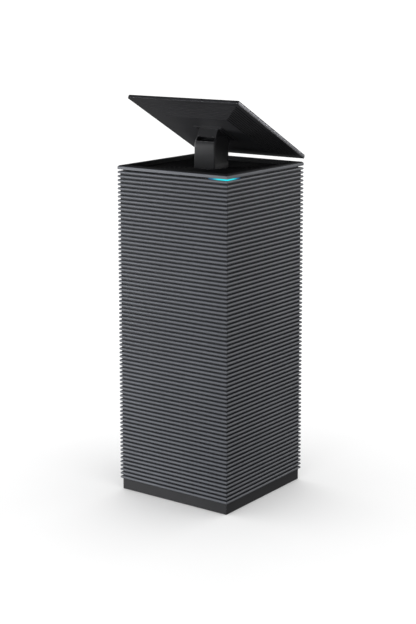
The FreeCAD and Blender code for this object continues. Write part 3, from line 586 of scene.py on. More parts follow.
def moulded_plastic(name, colour, roughness, grain_size, dust_amount):
    """Spark-textured plastic or rubber with a little dust on it."""
    material, nodes, links = empty_material(name)

    dust_frame = nodes.new("NodeFrame")
    dust_frame.label = "Settled dust"
    skin_frame = nodes.new("NodeFrame")
    skin_frame.label = "Mould texture"

    place = nodes.new("ShaderNodeTexCoord")
    place.label = "Place on the piece"
    facing = nodes.new("ShaderNodeNewGeometry")
    facing.label = "Direction of the face"
    facing_parts = nodes.new("ShaderNodeSeparateXYZ")
    facing_parts.label = "How far it faces up"
    specks = nodes.new("ShaderNodeTexNoise")
    specks.label = "Patches of dust"
    patches = nodes.new("ShaderNodeMapRange")
    patches.label = "Thin and thick dust"
    upper = nodes.new("ShaderNodeMath")
    upper.label = "Only on upward faces"
    amount = nodes.new("ShaderNodeMath")
    amount.label = "Amount of dust"
    surface = nodes.new("ShaderNodeMix")
    surface.label = "Plastic or dust"
    grain = nodes.new("ShaderNodeTexVoronoi")
    grain.label = "Spark texture"
    gloss = nodes.new("ShaderNodeMapRange")
    gloss.label = "Uneven sheen"
    relief = nodes.new("ShaderNodeBump")
    relief.label = "Texture relief"
    shader = nodes.new("ShaderNodeBsdfPrincipled")
    shader.label = "Plastic"
    output = nodes.new("ShaderNodeOutputMaterial")
    output.label = "Surface"

    for node in (facing, facing_parts, specks, patches, upper, amount, surface):
        node.parent = dust_frame
    for node in (grain, gloss, relief):
        node.parent = skin_frame
    columns = ((place, facing), (facing_parts, specks, grain), (patches, gloss), (upper, relief),
               (amount,), (surface,), (shader,), (output,))
    lay_out(columns)

    specks.inputs["Scale"].default_value = 22
    specks.inputs["Detail"].default_value = 7
    patches.inputs["From Min"].default_value = 0.35
    patches.inputs["From Max"].default_value = 0.75
    upper.operation = "MULTIPLY"
    upper.use_clamp = True
    amount.operation = "MULTIPLY"
    amount.inputs[1].default_value = dust_amount
    surface.data_type = "RGBA"
    surface.inputs[MIX_FIRST].default_value = shade(colour, 1)
    surface.inputs[MIX_SECOND].default_value = (0.2, 0.2, 0.19, 1)
    grain.inputs["Scale"].default_value = 1 / grain_size
    gloss.inputs["To Min"].default_value = roughness - 0.08
    gloss.inputs["To Max"].default_value = roughness + 0.06
    relief.inputs["Strength"].default_value = 0.3
    relief.inputs["Distance"].default_value = 0.08 * MM
    shader.inputs["Metallic"].default_value = 0
    shader.inputs["Specular IOR Level"].default_value = 0.15

    links.new(place.outputs["Object"], specks.inputs["Vector"])
    links.new(place.outputs["Object"], grain.inputs["Vector"])
    links.new(facing.outputs["Normal"], facing_parts.inputs["Vector"])
    links.new(specks.outputs["Fac"], patches.inputs["Value"])
    links.new(patches.outputs["Result"], upper.inputs[0])
    links.new(facing_parts.outputs["Z"], upper.inputs[1])
    links.new(upper.outputs["Value"], amount.inputs[0])
    links.new(amount.outputs["Value"], surface.inputs[MIX_SHARE])
    links.new(surface.outputs[MIX_RESULT], shader.inputs["Base Color"])
    links.new(grain.outputs["Distance"], gloss.inputs["Value"])
    links.new(gloss.outputs["Result"], shader.inputs["Roughness"])
    links.new(grain.outputs["Distance"], relief.inputs["Height"])
    links.new(relief.outputs["Normal"], shader.inputs["Normal"])
    links.new(shader.outputs["BSDF"], output.inputs["Surface"])
    return material


def screen_glass(name, place_matrix, half_picture):
    """Black-backed glass: inked border, dark picture area behind, and faint finger smears."""
    material, nodes, links = empty_material(name)

    border_frame = nodes.new("NodeFrame")
    border_frame.label = "Ink border and picture area"
    smear_frame = nodes.new("NodeFrame")
    smear_frame.label = "Finger smears"

    place = nodes.new("ShaderNodeTexCoord")
    place.label = "Place on the piece"
    turn = nodes.new("ShaderNodeMapping")
    turn.label = "Turned flat about the hinge"
    axes = nodes.new("ShaderNodeSeparateXYZ")
    axes.label = "Across and up the screen"
    across = nodes.new("ShaderNodeMath")
    across.label = "Distance across"
    upward = nodes.new("ShaderNodeMath")
    upward.label = "Distance up"
    square = nodes.new("ShaderNodeMath")
    square.label = "Distance from the middle"
    picture = nodes.new("ShaderNodeMapRange")
    picture.label = "1 in the picture area"
    pixels = nodes.new("ShaderNodeTexNoise")
    pixels.label = "Faint unevenness of the panel"
    panel_tone = nodes.new("ShaderNodeValToRGB")
    panel_tone.label = "Dark panel"
    colour = nodes.new("ShaderNodeMix")
    colour.label = "Ink or panel"
    smear = nodes.new("ShaderNodeTexNoise")
    smear.label = "Smears"
    drag = nodes.new("ShaderNodeMapping")
    drag.label = "Drawn by a moving finger"
    gloss = nodes.new("ShaderNodeMapRange")
    gloss.label = "Clean to smeared"
    ripple = nodes.new("ShaderNodeTexNoise")
    ripple.label = "Slight waviness of the glass"
    relief = nodes.new("ShaderNodeBump")
    relief.label = "Waviness relief"
    shader = nodes.new("ShaderNodeBsdfPrincipled")
    shader.label = "Black-backed glass"
    output = nodes.new("ShaderNodeOutputMaterial")
    output.label = "Surface"

    for node in (turn, axes, across, upward, square, picture, pixels, panel_tone, colour):
        node.parent = border_frame
    for node in (drag, smear, gloss, ripple, relief):
        node.parent = smear_frame
    columns = ((place,), (turn, drag, ripple), (axes, smear, relief), (across, upward, pixels),
               (square, panel_tone), (picture, gloss), (colour,), (shader,), (output,))
    lay_out(columns)

    flat = place_matrix.inverted()
    turn.inputs["Location"].default_value = flat.to_translation()
    turn.inputs["Rotation"].default_value = flat.to_euler()
    across.operation = "ABSOLUTE"
    upward.operation = "ABSOLUTE"
    square.operation = "MAXIMUM"
    picture.inputs["From Min"].default_value = half_picture + 0.4 * MM
    picture.inputs["From Max"].default_value = half_picture
    pixels.inputs["Scale"].default_value = 6
    panel_tone.color_ramp.elements[0].color = (0.010, 0.011, 0.014, 1)
    panel_tone.color_ramp.elements[1].color = (0.016, 0.018, 0.024, 1)
    colour.data_type = "RGBA"
    colour.inputs[MIX_FIRST].default_value = (0.004, 0.004, 0.005, 1)
    drag.inputs["Scale"].default_value = (22, 7, 7)
    smear.inputs["Scale"].default_value = 1.6
    smear.inputs["Detail"].default_value = 8
    smear.inputs["Distortion"].default_value = 1.2
    gloss.inputs["From Min"].default_value = 0.45
    gloss.inputs["From Max"].default_value = 0.8
    gloss.inputs["To Min"].default_value = 0.05
    gloss.inputs["To Max"].default_value = 0.24
    ripple.inputs["Scale"].default_value = 5
    relief.inputs["Strength"].default_value = 0.05
    relief.inputs["Distance"].default_value = 0.2 * MM
    shader.inputs["IOR"].default_value = 1.52

    links.new(place.outputs["Object"], turn.inputs["Vector"])
    links.new(place.outputs["Object"], drag.inputs["Vector"])
    links.new(place.outputs["Object"], ripple.inputs["Vector"])
    links.new(place.outputs["Object"], pixels.inputs["Vector"])
    links.new(turn.outputs["Vector"], axes.inputs["Vector"])
    links.new(axes.outputs["X"], across.inputs[0])
    links.new(axes.outputs["Y"], upward.inputs[0])
    links.new(across.outputs["Value"], square.inputs[0])
    links.new(upward.outputs["Value"], square.inputs[1])
    links.new(square.outputs["Value"], picture.inputs["Value"])
    links.new(pixels.outputs["Fac"], panel_tone.inputs["Fac"])
    links.new(picture.outputs["Result"], colour.inputs[MIX_SHARE])
    links.new(panel_tone.outputs["Color"], colour.inputs[MIX_SECOND])
    links.new(colour.outputs[MIX_RESULT], shader.inputs["Base Color"])
    links.new(drag.outputs["Vector"], smear.inputs["Vector"])
    links.new(smear.outputs["Fac"], gloss.inputs["Value"])
    links.new(gloss.outputs["Result"], shader.inputs["Roughness"])
    links.new(ripple.outputs["Fac"], relief.inputs["Height"])
    links.new(relief.outputs["Normal"], shader.inputs["Normal"])
    links.new(shader.outputs["BSDF"], output.inputs["Surface"])
    return material


def glowing_diffuser(name, colour, strength, corner, reach):
    """Milky bar lit from behind: brightest at the corner, deep blue and dark at its two ends."""
    material, nodes, links = empty_material(name)

    fade_frame = nodes.new("NodeFrame")
    fade_frame.label = "Light dies away along the bar"
    skin_frame = nodes.new("NodeFrame")
    skin_frame.label = "Milky plastic"

    place = nodes.new("ShaderNodeTexCoord")
    place.label = "Place on the column"
    from_corner = nodes.new("ShaderNodeVectorMath")
    from_corner.label = "Measured from the corner"
    axes = nodes.new("ShaderNodeSeparateXYZ")
    axes.label = "Along either arm"
    first_arm = nodes.new("ShaderNodeMath")
    first_arm.label = "Along the first arm"
    second_arm = nodes.new("ShaderNodeMath")
    second_arm.label = "Along the second arm"
    along = nodes.new("ShaderNodeMath")
    along.label = "Distance along the bar"
    lamps = nodes.new("ShaderNodeTexNoise")
    lamps.label = "Small unevenness between lamps"
    uneven = nodes.new("ShaderNodeMath")
    uneven.label = "Uneven fade"
    share = nodes.new("ShaderNodeMapRange")
    share.label = "0 at the corner, 1 at the end"
    glow = nodes.new("ShaderNodeValToRGB")
    glow.label = "Cyan to deep blue to off"
    cloud = nodes.new("ShaderNodeTexNoise")
    cloud.label = "Milky clouding"
    milk = nodes.new("ShaderNodeValToRGB")
    milk.label = "Unlit plastic"
    gloss = nodes.new("ShaderNodeMapRange")
    gloss.label = "Frosted skin"
    shader = nodes.new("ShaderNodeBsdfPrincipled")
    shader.label = "Lit diffuser"
    output = nodes.new("ShaderNodeOutputMaterial")
    output.label = "Surface"

    for node in (from_corner, axes, first_arm, second_arm, along, lamps, uneven, share, glow):
        node.parent = fade_frame
    for node in (cloud, milk, gloss):
        node.parent = skin_frame
    columns = ((place,), (from_corner, lamps, cloud), (axes, milk, gloss), (first_arm, second_arm),
               (along,), (uneven,), (share,), (glow,), (shader,), (output,))
    lay_out(columns)

    from_corner.operation = "SUBTRACT"
    from_corner.inputs[1].default_value = corner
    first_arm.operation = "ABSOLUTE"
    second_arm.operation = "ABSOLUTE"
    along.operation = "MAXIMUM"
    lamps.inputs["Scale"].default_value = 160
    uneven.operation = "MULTIPLY_ADD"
    uneven.inputs[1].default_value = 3 * MM
    share.inputs["From Max"].default_value = reach
    glow.color_ramp.elements[0].position = 0
    glow.color_ramp.elements[0].color = shade(colour, 1)
    glow.color_ramp.elements[1].position = 1
    glow.color_ramp.elements[1].color = (0, 0.01, 0.03, 1)
    wide = glow.color_ramp.elements.new(0.5)
    wide.color = shade(colour, 0.85)
    blue = glow.color_ramp.elements.new(0.78)
    blue.color = (0.002, 0.09, 0.2, 1)
    cloud.inputs["Scale"].default_value = 120
    milk.color_ramp.elements[0].color = (0.01, 0.03, 0.04, 1)
    milk.color_ramp.elements[1].color = (0.015, 0.04, 0.05, 1)
    gloss.inputs["To Min"].default_value = 0.3
    gloss.inputs["To Max"].default_value = 0.45
    shader.inputs["Specular IOR Level"].default_value = 0.15
    shader.inputs["Emission Strength"].default_value = strength

    links.new(place.outputs["Object"], from_corner.inputs[0])
    links.new(place.outputs["Object"], lamps.inputs["Vector"])
    links.new(place.outputs["Object"], cloud.inputs["Vector"])
    links.new(from_corner.outputs["Vector"], axes.inputs["Vector"])
    links.new(axes.outputs["X"], first_arm.inputs[0])
    links.new(axes.outputs["Y"], second_arm.inputs[0])
    links.new(first_arm.outputs["Value"], along.inputs[0])
    links.new(second_arm.outputs["Value"], along.inputs[1])
    links.new(lamps.outputs["Fac"], uneven.inputs[0])
    links.new(along.outputs["Value"], uneven.inputs[2])
    links.new(uneven.outputs["Value"], share.inputs["Value"])
    links.new(share.outputs["Result"], glow.inputs["Fac"])
    links.new(glow.outputs["Color"], shader.inputs["Emission Color"])
    links.new(cloud.outputs["Fac"], milk.inputs["Fac"])
    links.new(milk.outputs["Color"], shader.inputs["Base Color"])
    links.new(cloud.outputs["Fac"], gloss.inputs["Value"])
    links.new(gloss.outputs["Result"], shader.inputs["Roughness"])
    links.new(shader.outputs["BSDF"], output.inputs["Surface"])
    return material


def circuit_board(name, colour):
    """Solder mask with copper tracks showing through and tinned pads."""
    material, nodes, links = empty_material(name)

    track_frame = nodes.new("NodeFrame")
    track_frame.label = "Tracks under the mask"
    pad_frame = nodes.new("NodeFrame")
    pad_frame.label = "Tinned pads"

    place = nodes.new("ShaderNodeTexCoord")
    place.label = "Place on the board"
    tracks = nodes.new("ShaderNodeTexBrick")
    tracks.label = "Track layout"
    pads = nodes.new("ShaderNodeTexVoronoi")
    pads.label = "Scattered pads"
    pad_mask = nodes.new("ShaderNodeMapRange")
    pad_mask.label = "1 on a pad"
    tinned = nodes.new("ShaderNodeMix")
    tinned.label = "Mask or tin"
    relief = nodes.new("ShaderNodeBump")
    relief.label = "Track relief"
    shader = nodes.new("ShaderNodeBsdfPrincipled")
    shader.label = "Board"
    output = nodes.new("ShaderNodeOutputMaterial")
    output.label = "Surface"

    tracks.parent = track_frame
    relief.parent = track_frame
    for node in (pads, pad_mask, tinned):
        node.parent = pad_frame
    columns = ((place,), (tracks, pads), (relief, pad_mask), (tinned,), (shader,), (output,))
    lay_out(columns)

    tracks.inputs["Scale"].default_value = 160
    tracks.inputs["Color1"].default_value = shade(colour, 1)
    tracks.inputs["Color2"].default_value = shade(colour, 1.2)
    tracks.inputs["Mortar"].default_value = shade(colour, 2)
    pads.inputs["Scale"].default_value = 220
    pad_mask.inputs["From Min"].default_value = 0.24
    pad_mask.inputs["From Max"].default_value = 0.2
    tinned.data_type = "RGBA"
    tinned.inputs[MIX_SECOND].default_value = (0.5, 0.5, 0.48, 1)
    relief.inputs["Strength"].default_value = 0.2
    relief.inputs["Distance"].default_value = 0.05 * MM
    shader.inputs["Roughness"].default_value = 0.35

    links.new(place.outputs["Object"], tracks.inputs["Vector"])
    links.new(place.outputs["Object"], pads.inputs["Vector"])
    links.new(tracks.outputs["Color"], tinned.inputs[MIX_FIRST])
    links.new(pads.outputs["Distance"], pad_mask.inputs["Value"])
    links.new(pad_mask.outputs["Result"], tinned.inputs[MIX_SHARE])
    links.new(tinned.outputs[MIX_RESULT], shader.inputs["Base Color"])
    links.new(tracks.outputs["Fac"], relief.inputs["Height"])
    links.new(relief.outputs["Normal"], shader.inputs["Normal"])
    links.new(shader.outputs["BSDF"], output.inputs["Surface"])
    return material


def studio_floor(name, colour):
    """Pale seamless floor with a barely visible change of tone."""
    material, nodes, links = empty_material(name)

    place = nodes.new("ShaderNodeTexCoord")
    place.label = "Place on the floor"
    cloud = nodes.new("ShaderNodeTexNoise")
    cloud.label = "Faint clouding"
    tone = nodes.new("ShaderNodeValToRGB")
    tone.label = "Pale tones"
    shader = nodes.new("ShaderNodeBsdfPrincipled")
    shader.label = "Floor"
    output = nodes.new("ShaderNodeOutputMaterial")
    output.label = "Surface"
    lay_out(((place,), (cloud,), (tone,), (shader,), (output,)))

    cloud.inputs["Scale"].default_value = 2
    tone.color_ramp.elements[0].color = shade(colour, 0.98)
    tone.color_ramp.elements[1].color = shade(colour, 1.02)
    shader.inputs["Roughness"].default_value = 0.8

    links.new(place.outputs["Object"], cloud.inputs["Vector"])
    links.new(cloud.outputs["Fac"], tone.inputs["Fac"])
    links.new(tone.outputs["Color"], shader.inputs["Base Color"])
    links.new(shader.outputs["BSDF"], output.inputs["Surface"])
    return material


def material_for(slot, settings):
    """The finished material of one record slot, made once."""
    name = "finish_" + slot
    if name in bpy.data.materials:
        return bpy.data.materials[name]
    column = settings.column
    head = settings.head
    bright = (0.5, 0.5, 0.5)
    rubbed = (0.3, 0.3, 0.31)
    faint_rub = (0.05, 0.05, 0.052)
    bare_zinc = (0.75, 0.75, 0.74)
    bare_bronze = (0.8, 0.6, 0.3)
    deep_black = (0.008, 0.008, 0.009)
    half_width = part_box("top_rim")[1].x
    # The ribs' coat carries painted shade in the grooves and a painted highlight on the noses.
    if slot == "rib_finish":
        return ribbed_coat_with_painted_shade(name, column.coat, half_width - column.rib_depth, half_width)
    if slot == "plinth_finish":
        return powder_coat(name, column.plinth, rubbed,
                           roughness=0.6, peel_size=0.9 * MM, gloss_level=0.25)
    if slot == "neck_finish":
        return powder_coat(name, head.neck, rubbed,
                           roughness=0.42, peel_size=0.7 * MM, gloss_level=0.3)
    if slot == "cover_finish":
        return powder_coat(name, head.cover, faint_rub, roughness=0.42,
                           peel_size=0.6 * MM, gloss_level=0.35, wear_radius=0.3 * MM)
    if slot == "frame_steel":
        return powder_coat(name, record_colour(slot), rubbed,
                           roughness=0.65, peel_size=1.2 * MM, gloss_level=0.4)
    if slot == "edge_finish":
        return plated_metal(name, head.edge, bright,
                            roughness=0.38, grain_size=0.5 * MM, spangle_size=30 * MM)
    if slot == "zinc_steel":
        return plated_metal(name, record_colour(slot), bare_zinc,
                            roughness=0.32, grain_size=0.4 * MM, spangle_size=6 * MM)
    if slot == "bronze":
        return plated_metal(name, record_colour(slot), bare_bronze,
                            roughness=0.4, grain_size=0.3 * MM, spangle_size=3 * MM)
    if slot == "black_screw":
        return plated_metal(name, record_colour(slot), rubbed,
                            roughness=0.4, grain_size=0.3 * MM, spangle_size=2 * MM)
    if slot == "deck_black":
        return moulded_plastic(name, deep_black,
                               roughness=0.7, grain_size=0.9 * MM, dust_amount=0.01)
    if slot == "black_plastic":
        return moulded_plastic(name, record_colour(slot),
                               roughness=0.5, grain_size=0.8 * MM, dust_amount=0.12)
    if slot == "black_rubber":
        return moulded_plastic(name, record_colour(slot),
                               roughness=0.8, grain_size=1.1 * MM, dust_amount=0.2)
    if slot == "lcd_face":
        return moulded_plastic(name, record_colour(slot),
                               roughness=0.3, grain_size=0.5 * MM, dust_amount=0.02)
    if slot == "screen_glass":
        return screen_glass(name, display_matrix(), flat_box("lcd_panel")[1].x)
    if slot == "board_green":
        return circuit_board(name, record_colour(slot))
    if slot == "light_lens":
        low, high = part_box("light_diffuser")
        corner = Vector((low.x, high.y, low.z))
        return glowing_diffuser(name, head.glow, head.glow_strength, corner, high.x - low.x)
    raise RuntimeError("no material is made for the slot " + slot)


# --------------------------------------------------------------- piece helpers

def add_piece(mesh, name, node, settings, finish=None):
    """Turn a finished bmesh into a piece that stands for a node and rides on its body."""
    data = bpy.data.meshes.new(name)
    for face in mesh.faces:
        face.smooth = True
    mesh.to_mesh(data)
    mesh.free()
    data.set_sharp_from_angle(angle=SHARP_ANGLE)
    piece = bpy.data.objects.new(name, data)
    bpy.context.scene.collection.objects.link(piece)
    data.materials.append(finish or material_for(slot_of(node), settings))
    weighting = piece.modifiers.new("flat_faces_first", "WEIGHTED_NORMAL")
    weighting.keep_sharp = True
    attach(piece, nodes_by_name[node]["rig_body"])
    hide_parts(node)
    return piece


def paint_nodes(names, settings):
    """Give frame parts that keep their own shape the material of their slot."""
    for name in names:
        data = nodes_by_name[name].data
        data.materials.clear()
        data.materials.append(material_for(slot_of(name), settings))


def round_over(mesh, edges, size, segments):
    """Round edges with a bevel of a few segments."""
    bmesh.ops.bevel(mesh, geom=edges, offset=size, offset_type="OFFSET", segments=segments,
                    profile=0.5, affect="EDGES", material=-1, clamp_overlap=True)


def outer_uprights(mesh):
    """Long upright edges at the outermost left and right corners of a mesh."""
    reach = max(abs(vertex.co.x) for vertex in mesh.verts)
    found = []
    for item in mesh.edges:
        start, finish = (vertex.co for vertex in item.verts)
        upright = abs(start.z - finish.z) > UPRIGHT_SHARE * item.calc_length()
        at_side = abs(abs(start.x) - reach) < WELD
        at_corner = item.is_manifold and item.calc_face_angle() > SHARP_ANGLE
        if upright and at_side and at_corner and item.calc_length() > LONG_EDGE:
            found.append(item)
    return found


def softened_copy(node, edge, segments=2, corner=None):
    """Copy of a frame part: triangles joined, flats merged and sharp edges rounded over."""
    mesh = bmesh.new()
    mesh.from_mesh(nodes_by_name[node].data)
    bmesh.ops.remove_doubles(mesh, verts=mesh.verts, dist=WELD)
    bmesh.ops.dissolve_limit(mesh, angle_limit=FLAT_ANGLE, verts=mesh.verts, edges=mesh.edges)
    if corner:
        round_over(mesh, outer_uprights(mesh), corner, 4)
    sharp = [item for item in mesh.edges if item.is_manifold and item.calc_face_angle() > SHARP_ANGLE]
    round_over(mesh, sharp, edge, segments)
    return mesh


def extrude_prism(mesh, outline, length):
    """Closed prism along X from a closed ring of outline edges, centred on the origin."""
    face = bmesh.ops.contextual_create(mesh, geom=outline)["faces"][0]
    bmesh.ops.translate(mesh, verts=face.verts, vec=(-length / 2, 0, 0))
    grown = bmesh.ops.extrude_face_region(mesh, geom=[face], use_keep_orig=True)
    moved = [item for item in grown["geom"] if isinstance(item, bmesh.types.BMVert)]
    bmesh.ops.translate(mesh, verts=moved, vec=(length, 0, 0))


def mitre_ends(mesh, setback, arris):
    """Cut both ends of a prism that faces +Y at 45 degrees, and round the cut's edges."""
    for sign in (-1, 1):
        whole = mesh.verts[:] + mesh.edges[:] + mesh.faces[:]
        result = bmesh.ops.bisect_plane(
            mesh, geom=whole, dist=WELD, plane_co=(-sign * setback, 0, 0),
            plane_no=(sign, -1, 0), clear_outer=True)
        rim = [item for item in result["geom_cut"] if isinstance(item, bmesh.types.BMEdge)]
        cap = bmesh.ops.contextual_create(mesh, geom=rim)["faces"]
        around = {item for face in cap for item in face.edges}
        round_over(mesh, list(around), arris, 2)
    bmesh.ops.recalc_face_normals(mesh, faces=mesh.faces)


# ---------------------------------------------------------------- the column

def rib_outline(mesh, column, pitch):
    """One rib with half a groove on each side, in the plane X = 0, its middle at Z = 0."""
    half_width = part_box("top_rim")[1].x
    valley = half_width - column.rib_depth
    half_nose = column.rib_nose / 2
    radius = (half_nose ** 2 + column.rib_bulge ** 2) / (2 * column.rib_bulge)
    sweep = 2 * math.asin(half_nose / radius)
    centre = half_width - radius
    shoulder = half_width - column.rib_bulge
    start = mesh.verts.new((0, shoulder, -half_nose))
    arc = bmesh.ops.spin(mesh, geom=[start], cent=(0, centre, 0), axis=(1, 0, 0),
                         angle=sweep, steps=ARC_STEPS)
    finish = next(item for item in arc["geom_last"] if isinstance(item, bmesh.types.BMVert))
    for sign, tip in ((-1, start), (1, finish)):
        root = mesh.verts.new((0, valley, sign * column.rib_root / 2))
        middle = mesh.verts.new((0, valley, sign * pitch / 2))
        mesh.edges.new((tip, root))
        mesh.edges.new((root, middle))


def rib_panel(column):
    """Panel that faces the rear: a skin with a stack of round-nosed ribs, mitred at both ends."""
    low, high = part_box("rib_panel_rear")
    light_low, light_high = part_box("light_diffuser")
    full_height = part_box("top_rim")[1].z
    pitch = (full_height - low.z) / (column.ribs + 1)
    top_groove = (light_low.z + light_high.z) / 2
    core = low.y
    half_width = high.y
    valley = half_width - column.rib_depth
    mesh = bmesh.new()
    rib_outline(mesh, column, pitch)
    bmesh.ops.translate(mesh, verts=mesh.verts, vec=(0, 0, top_groove - pitch / 2))
    first = mesh.verts[:] + mesh.edges[:]
    for number in range(1, column.ribs):
        copy = bmesh.ops.duplicate(mesh, geom=first)
        added = [item for item in copy["geom"] if isinstance(item, bmesh.types.BMVert)]
        bmesh.ops.translate(mesh, verts=added, vec=(0, 0, -number * pitch))
    bmesh.ops.remove_doubles(mesh, verts=mesh.verts, dist=WELD)
    highest = max(mesh.verts, key=lambda vertex: vertex.co.z)
    lowest = min(mesh.verts, key=lambda vertex: vertex.co.z)
    highest.co.z = high.z
    lowest.co.z = low.z
    highest.co.y = valley - column.arris
    lowest.co.y = valley
    back_top = mesh.verts.new((0, core, high.z))
    back_low = mesh.verts.new((0, core, low.z))
    mesh.edges.new((highest, back_top))
    mesh.edges.new((back_top, back_low))
    mesh.edges.new((back_low, lowest))
    extrude_prism(mesh, mesh.edges[:], 2 * half_width)
    mitre_ends(mesh, column.seam, column.arris)
    return mesh


class KIOSK_OT_cladding(Operator):
    """Make the four ribbed panels and the four plinth boards"""
    bl_idname = "kiosk.cladding"
    bl_label = "Ribbed cladding"

    def execute(self, context):
        settings = context.scene.kiosk
        column = settings.column
        for number, side in enumerate(SIDES):
            panel = rib_panel(column)
            bmesh.ops.rotate(panel, verts=panel.verts, cent=(0, 0, 0),
                             matrix=Matrix.Rotation(number * QUARTER_TURN, 3, "Z"))
            add_piece(panel, "cladding_" + side, "rib_panel_" + side, settings)
            board = softened_copy("plinth_board_" + side, column.arris)
            add_piece(board, "skirting_" + side, "plinth_board_" + side, settings)
        return {"FINISHED"}


class KIOSK_OT_rim(Operator):
    """Make the mitred moulding that finishes the top of the column"""
    bl_idname = "kiosk.rim"
    bl_label = "Top rim"

    def execute(self, context):
        settings = context.scene.kiosk
        rim = softened_copy("top_rim", settings.rim.edge)
        half_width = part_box("top_rim")[1].x
        # The rim's top and inner faces get painted shade, and its outermost band gets a painted
        # highlight.
        finish = ribbed_coat_with_painted_shade("finish_rim", settings.column.coat,
                             half_width - settings.rim.painted_highlight_depth, half_width)
        add_piece(rim, "rim_moulding", "top_rim", settings, finish)
        return {"FINISHED"}


class KIOSK_OT_light(Operator):
    """Make the lit bar round the rear left corner"""
    bl_idname = "kiosk.light"
    bl_label = "Corner light"

    def execute(self, context):
        settings = context.scene.kiosk
        bar = softened_copy("light_diffuser", 2 * settings.column.arris, 3)
        add_piece(bar, "light_bar", "light_diffuser", settings)
        paint_nodes(["light_board"], settings)
        return {"FINISHED"}


class KIOSK_OT_neck(Operator):
    """Make the neck, the tilt head and the hinge's fasteners"""
    bl_idname = "kiosk.neck"
    bl_label = "Neck and hinge"

    def execute(self, context):
        settings = context.scene.kiosk
        edge = settings.head.soft_edge
        post = softened_copy("neck_yoke", edge, corner=settings.head.neck_corner)
        add_piece(post, "neck_post", "neck_yoke", settings)
        add_piece(softened_copy("tilt_head", edge), "head_block", "tilt_head", settings)
        paint_nodes(["pivot_shaft", "friction_washers", "grub_screws", "neck_clamp_plate",
                     "neck_bolts"], settings)
        return {"FINISHED"}


class KIOSK_OT_display_back(Operator):
    """Make the stepped rear cover, its plate and its screws"""
    bl_idname = "kiosk.display_back"
    bl_label = "Display back"

    def execute(self, context):
        settings = context.scene.kiosk
        edge = settings.head.soft_edge
        add_piece(softened_copy("rear_cover", edge), "stepped_cover", "rear_cover", settings)
        add_piece(softened_copy("mounting_plate", edge), "fixing_plate", "mounting_plate", settings)
        paint_nodes(["mounting_screws", "cover_screws"], settings)
        return {"FINISHED"}


class KIOSK_OT_display_front(Operator):
    """Make the cover glass and the metal band around it"""
    bl_idname = "kiosk.display_front"
    bl_label = "Display front"

    def execute(self, context):
        settings = context.scene.kiosk
        head = settings.head
        low, high = flat_box("touch_glass")
        mesh = bmesh.new()
        bmesh.ops.create_cube(mesh, size=1)
        bmesh.ops.scale(mesh, verts=mesh.verts, vec=high - low)
        bmesh.ops.translate(mesh, verts=mesh.verts, vec=(low + high) / 2)
        upright = [item for item in mesh.edges
                   if abs(item.verts[0].co.z - item.verts[1].co.z) > WELD]
        round_over(mesh, upright, head.glass_corner, 8)
        level = [item for item in mesh.edges if item.calc_face_angle() > SHARP_ANGLE]
        round_over(mesh, level, head.glass_edge, 3)
        bmesh.ops.transform(mesh, matrix=display_matrix(), verts=mesh.verts)
        add_piece(mesh, "cover_glass", "touch_glass", settings)
        band = softened_copy("display_chassis", head.soft_edge)
        add_piece(band, "edge_band", "display_chassis", settings)
        return {"FINISHED"}


class KIOSK_OT_fittings(Operator):
    """Finish the parts that keep their own shape"""
    bl_idname = "kiosk.fittings"
    bl_label = "Inner fittings"

    def execute(self, context):
        plain = [name for name, node in nodes_by_name.items() if not node.hide_render]
        paint_nodes(plain, context.scene.kiosk)
        return {"FINISHED"}


# ------------------------------------------------------------------ the stage

def studio_world(name, ambient):
    """White backdrop that gives the object only a little light."""
    world = bpy.data.worlds.new(name)
    world.use_nodes = True
    nodes = world.node_tree.nodes
    links = world.node_tree.links
    nodes.clear()
    ray = nodes.new("ShaderNodeLightPath")
    ray.label = "Seen or lighting"
    around = nodes.new("ShaderNodeBackground")
    around.label = "Dim studio"
    backdrop = nodes.new("ShaderNodeBackground")
    backdrop.label = "White backdrop"
    choice = nodes.new("ShaderNodeMixShader")
    choice.label = "Backdrop only where it is seen"
    output = nodes.new("ShaderNodeOutputWorld")
    output.label = "Studio"
    lay_out(((ray,), (around, backdrop), (choice,), (output,)))
    around.inputs["Color"].default_value = (1, 1, 1, 1)
    around.inputs["Strength"].default_value = ambient
    backdrop.inputs["Color"].default_value = (1, 1, 1, 1)
    links.new(ray.outputs["Is Camera Ray"], choice.inputs[MIX_SHARE])
    links.new(around.outputs["Background"], choice.inputs[1])
    links.new(backdrop.outputs["Background"], choice.inputs[2])
    links.new(choice.outputs["Shader"], output.inputs["Surface"])
    return world


def floor_links(floor, state):
    """Collection that makes a light reach the floor alone, or everything but the floor."""
    linked = bpy.data.collections.new("floor_" + state.lower())
    linked.objects.link(floor)
    linked.collection_objects[0].light_linking.link_state = state
    return linked


def light_floor(floor, strength):
    """Wide overhead light that falls on the floor alone, and keeps the floor from lighting the object."""
    data = bpy.data.lights.new("floor_light", "SUN")
    data.energy = strength
    data.angle = FLOOR_LIGHT_ANGLE
    lamp = bpy.data.objects.new("floor_light", data)
    bpy.context.scene.collection.objects.link(lamp)
    lamp.location = (0, 0, FLOOR_LIGHT_HEIGHT)
    lamp.light_linking.receiver_collection = floor_links(floor, "INCLUDE")
    floor.visible_diffuse = False
    floor.visible_glossy = False


def add_softbox(name, place, target, size, power, colour):
    """Oblong area light that points at a target."""
    data = bpy.data.lights.new(name, "AREA")
    data.shape = "RECTANGLE"
    data.size, data.size_y = size
    data.energy = power
    data.color = colour
    lamp = bpy.data.objects.new(name, data)
    bpy.context.scene.collection.objects.link(lamp)
    lamp.location = place
    lamp.rotation_mode = "QUATERNION"
    lamp.rotation_quaternion = (Vector(target) - Vector(place)).to_track_quat("-Z", "Y")
    return lamp


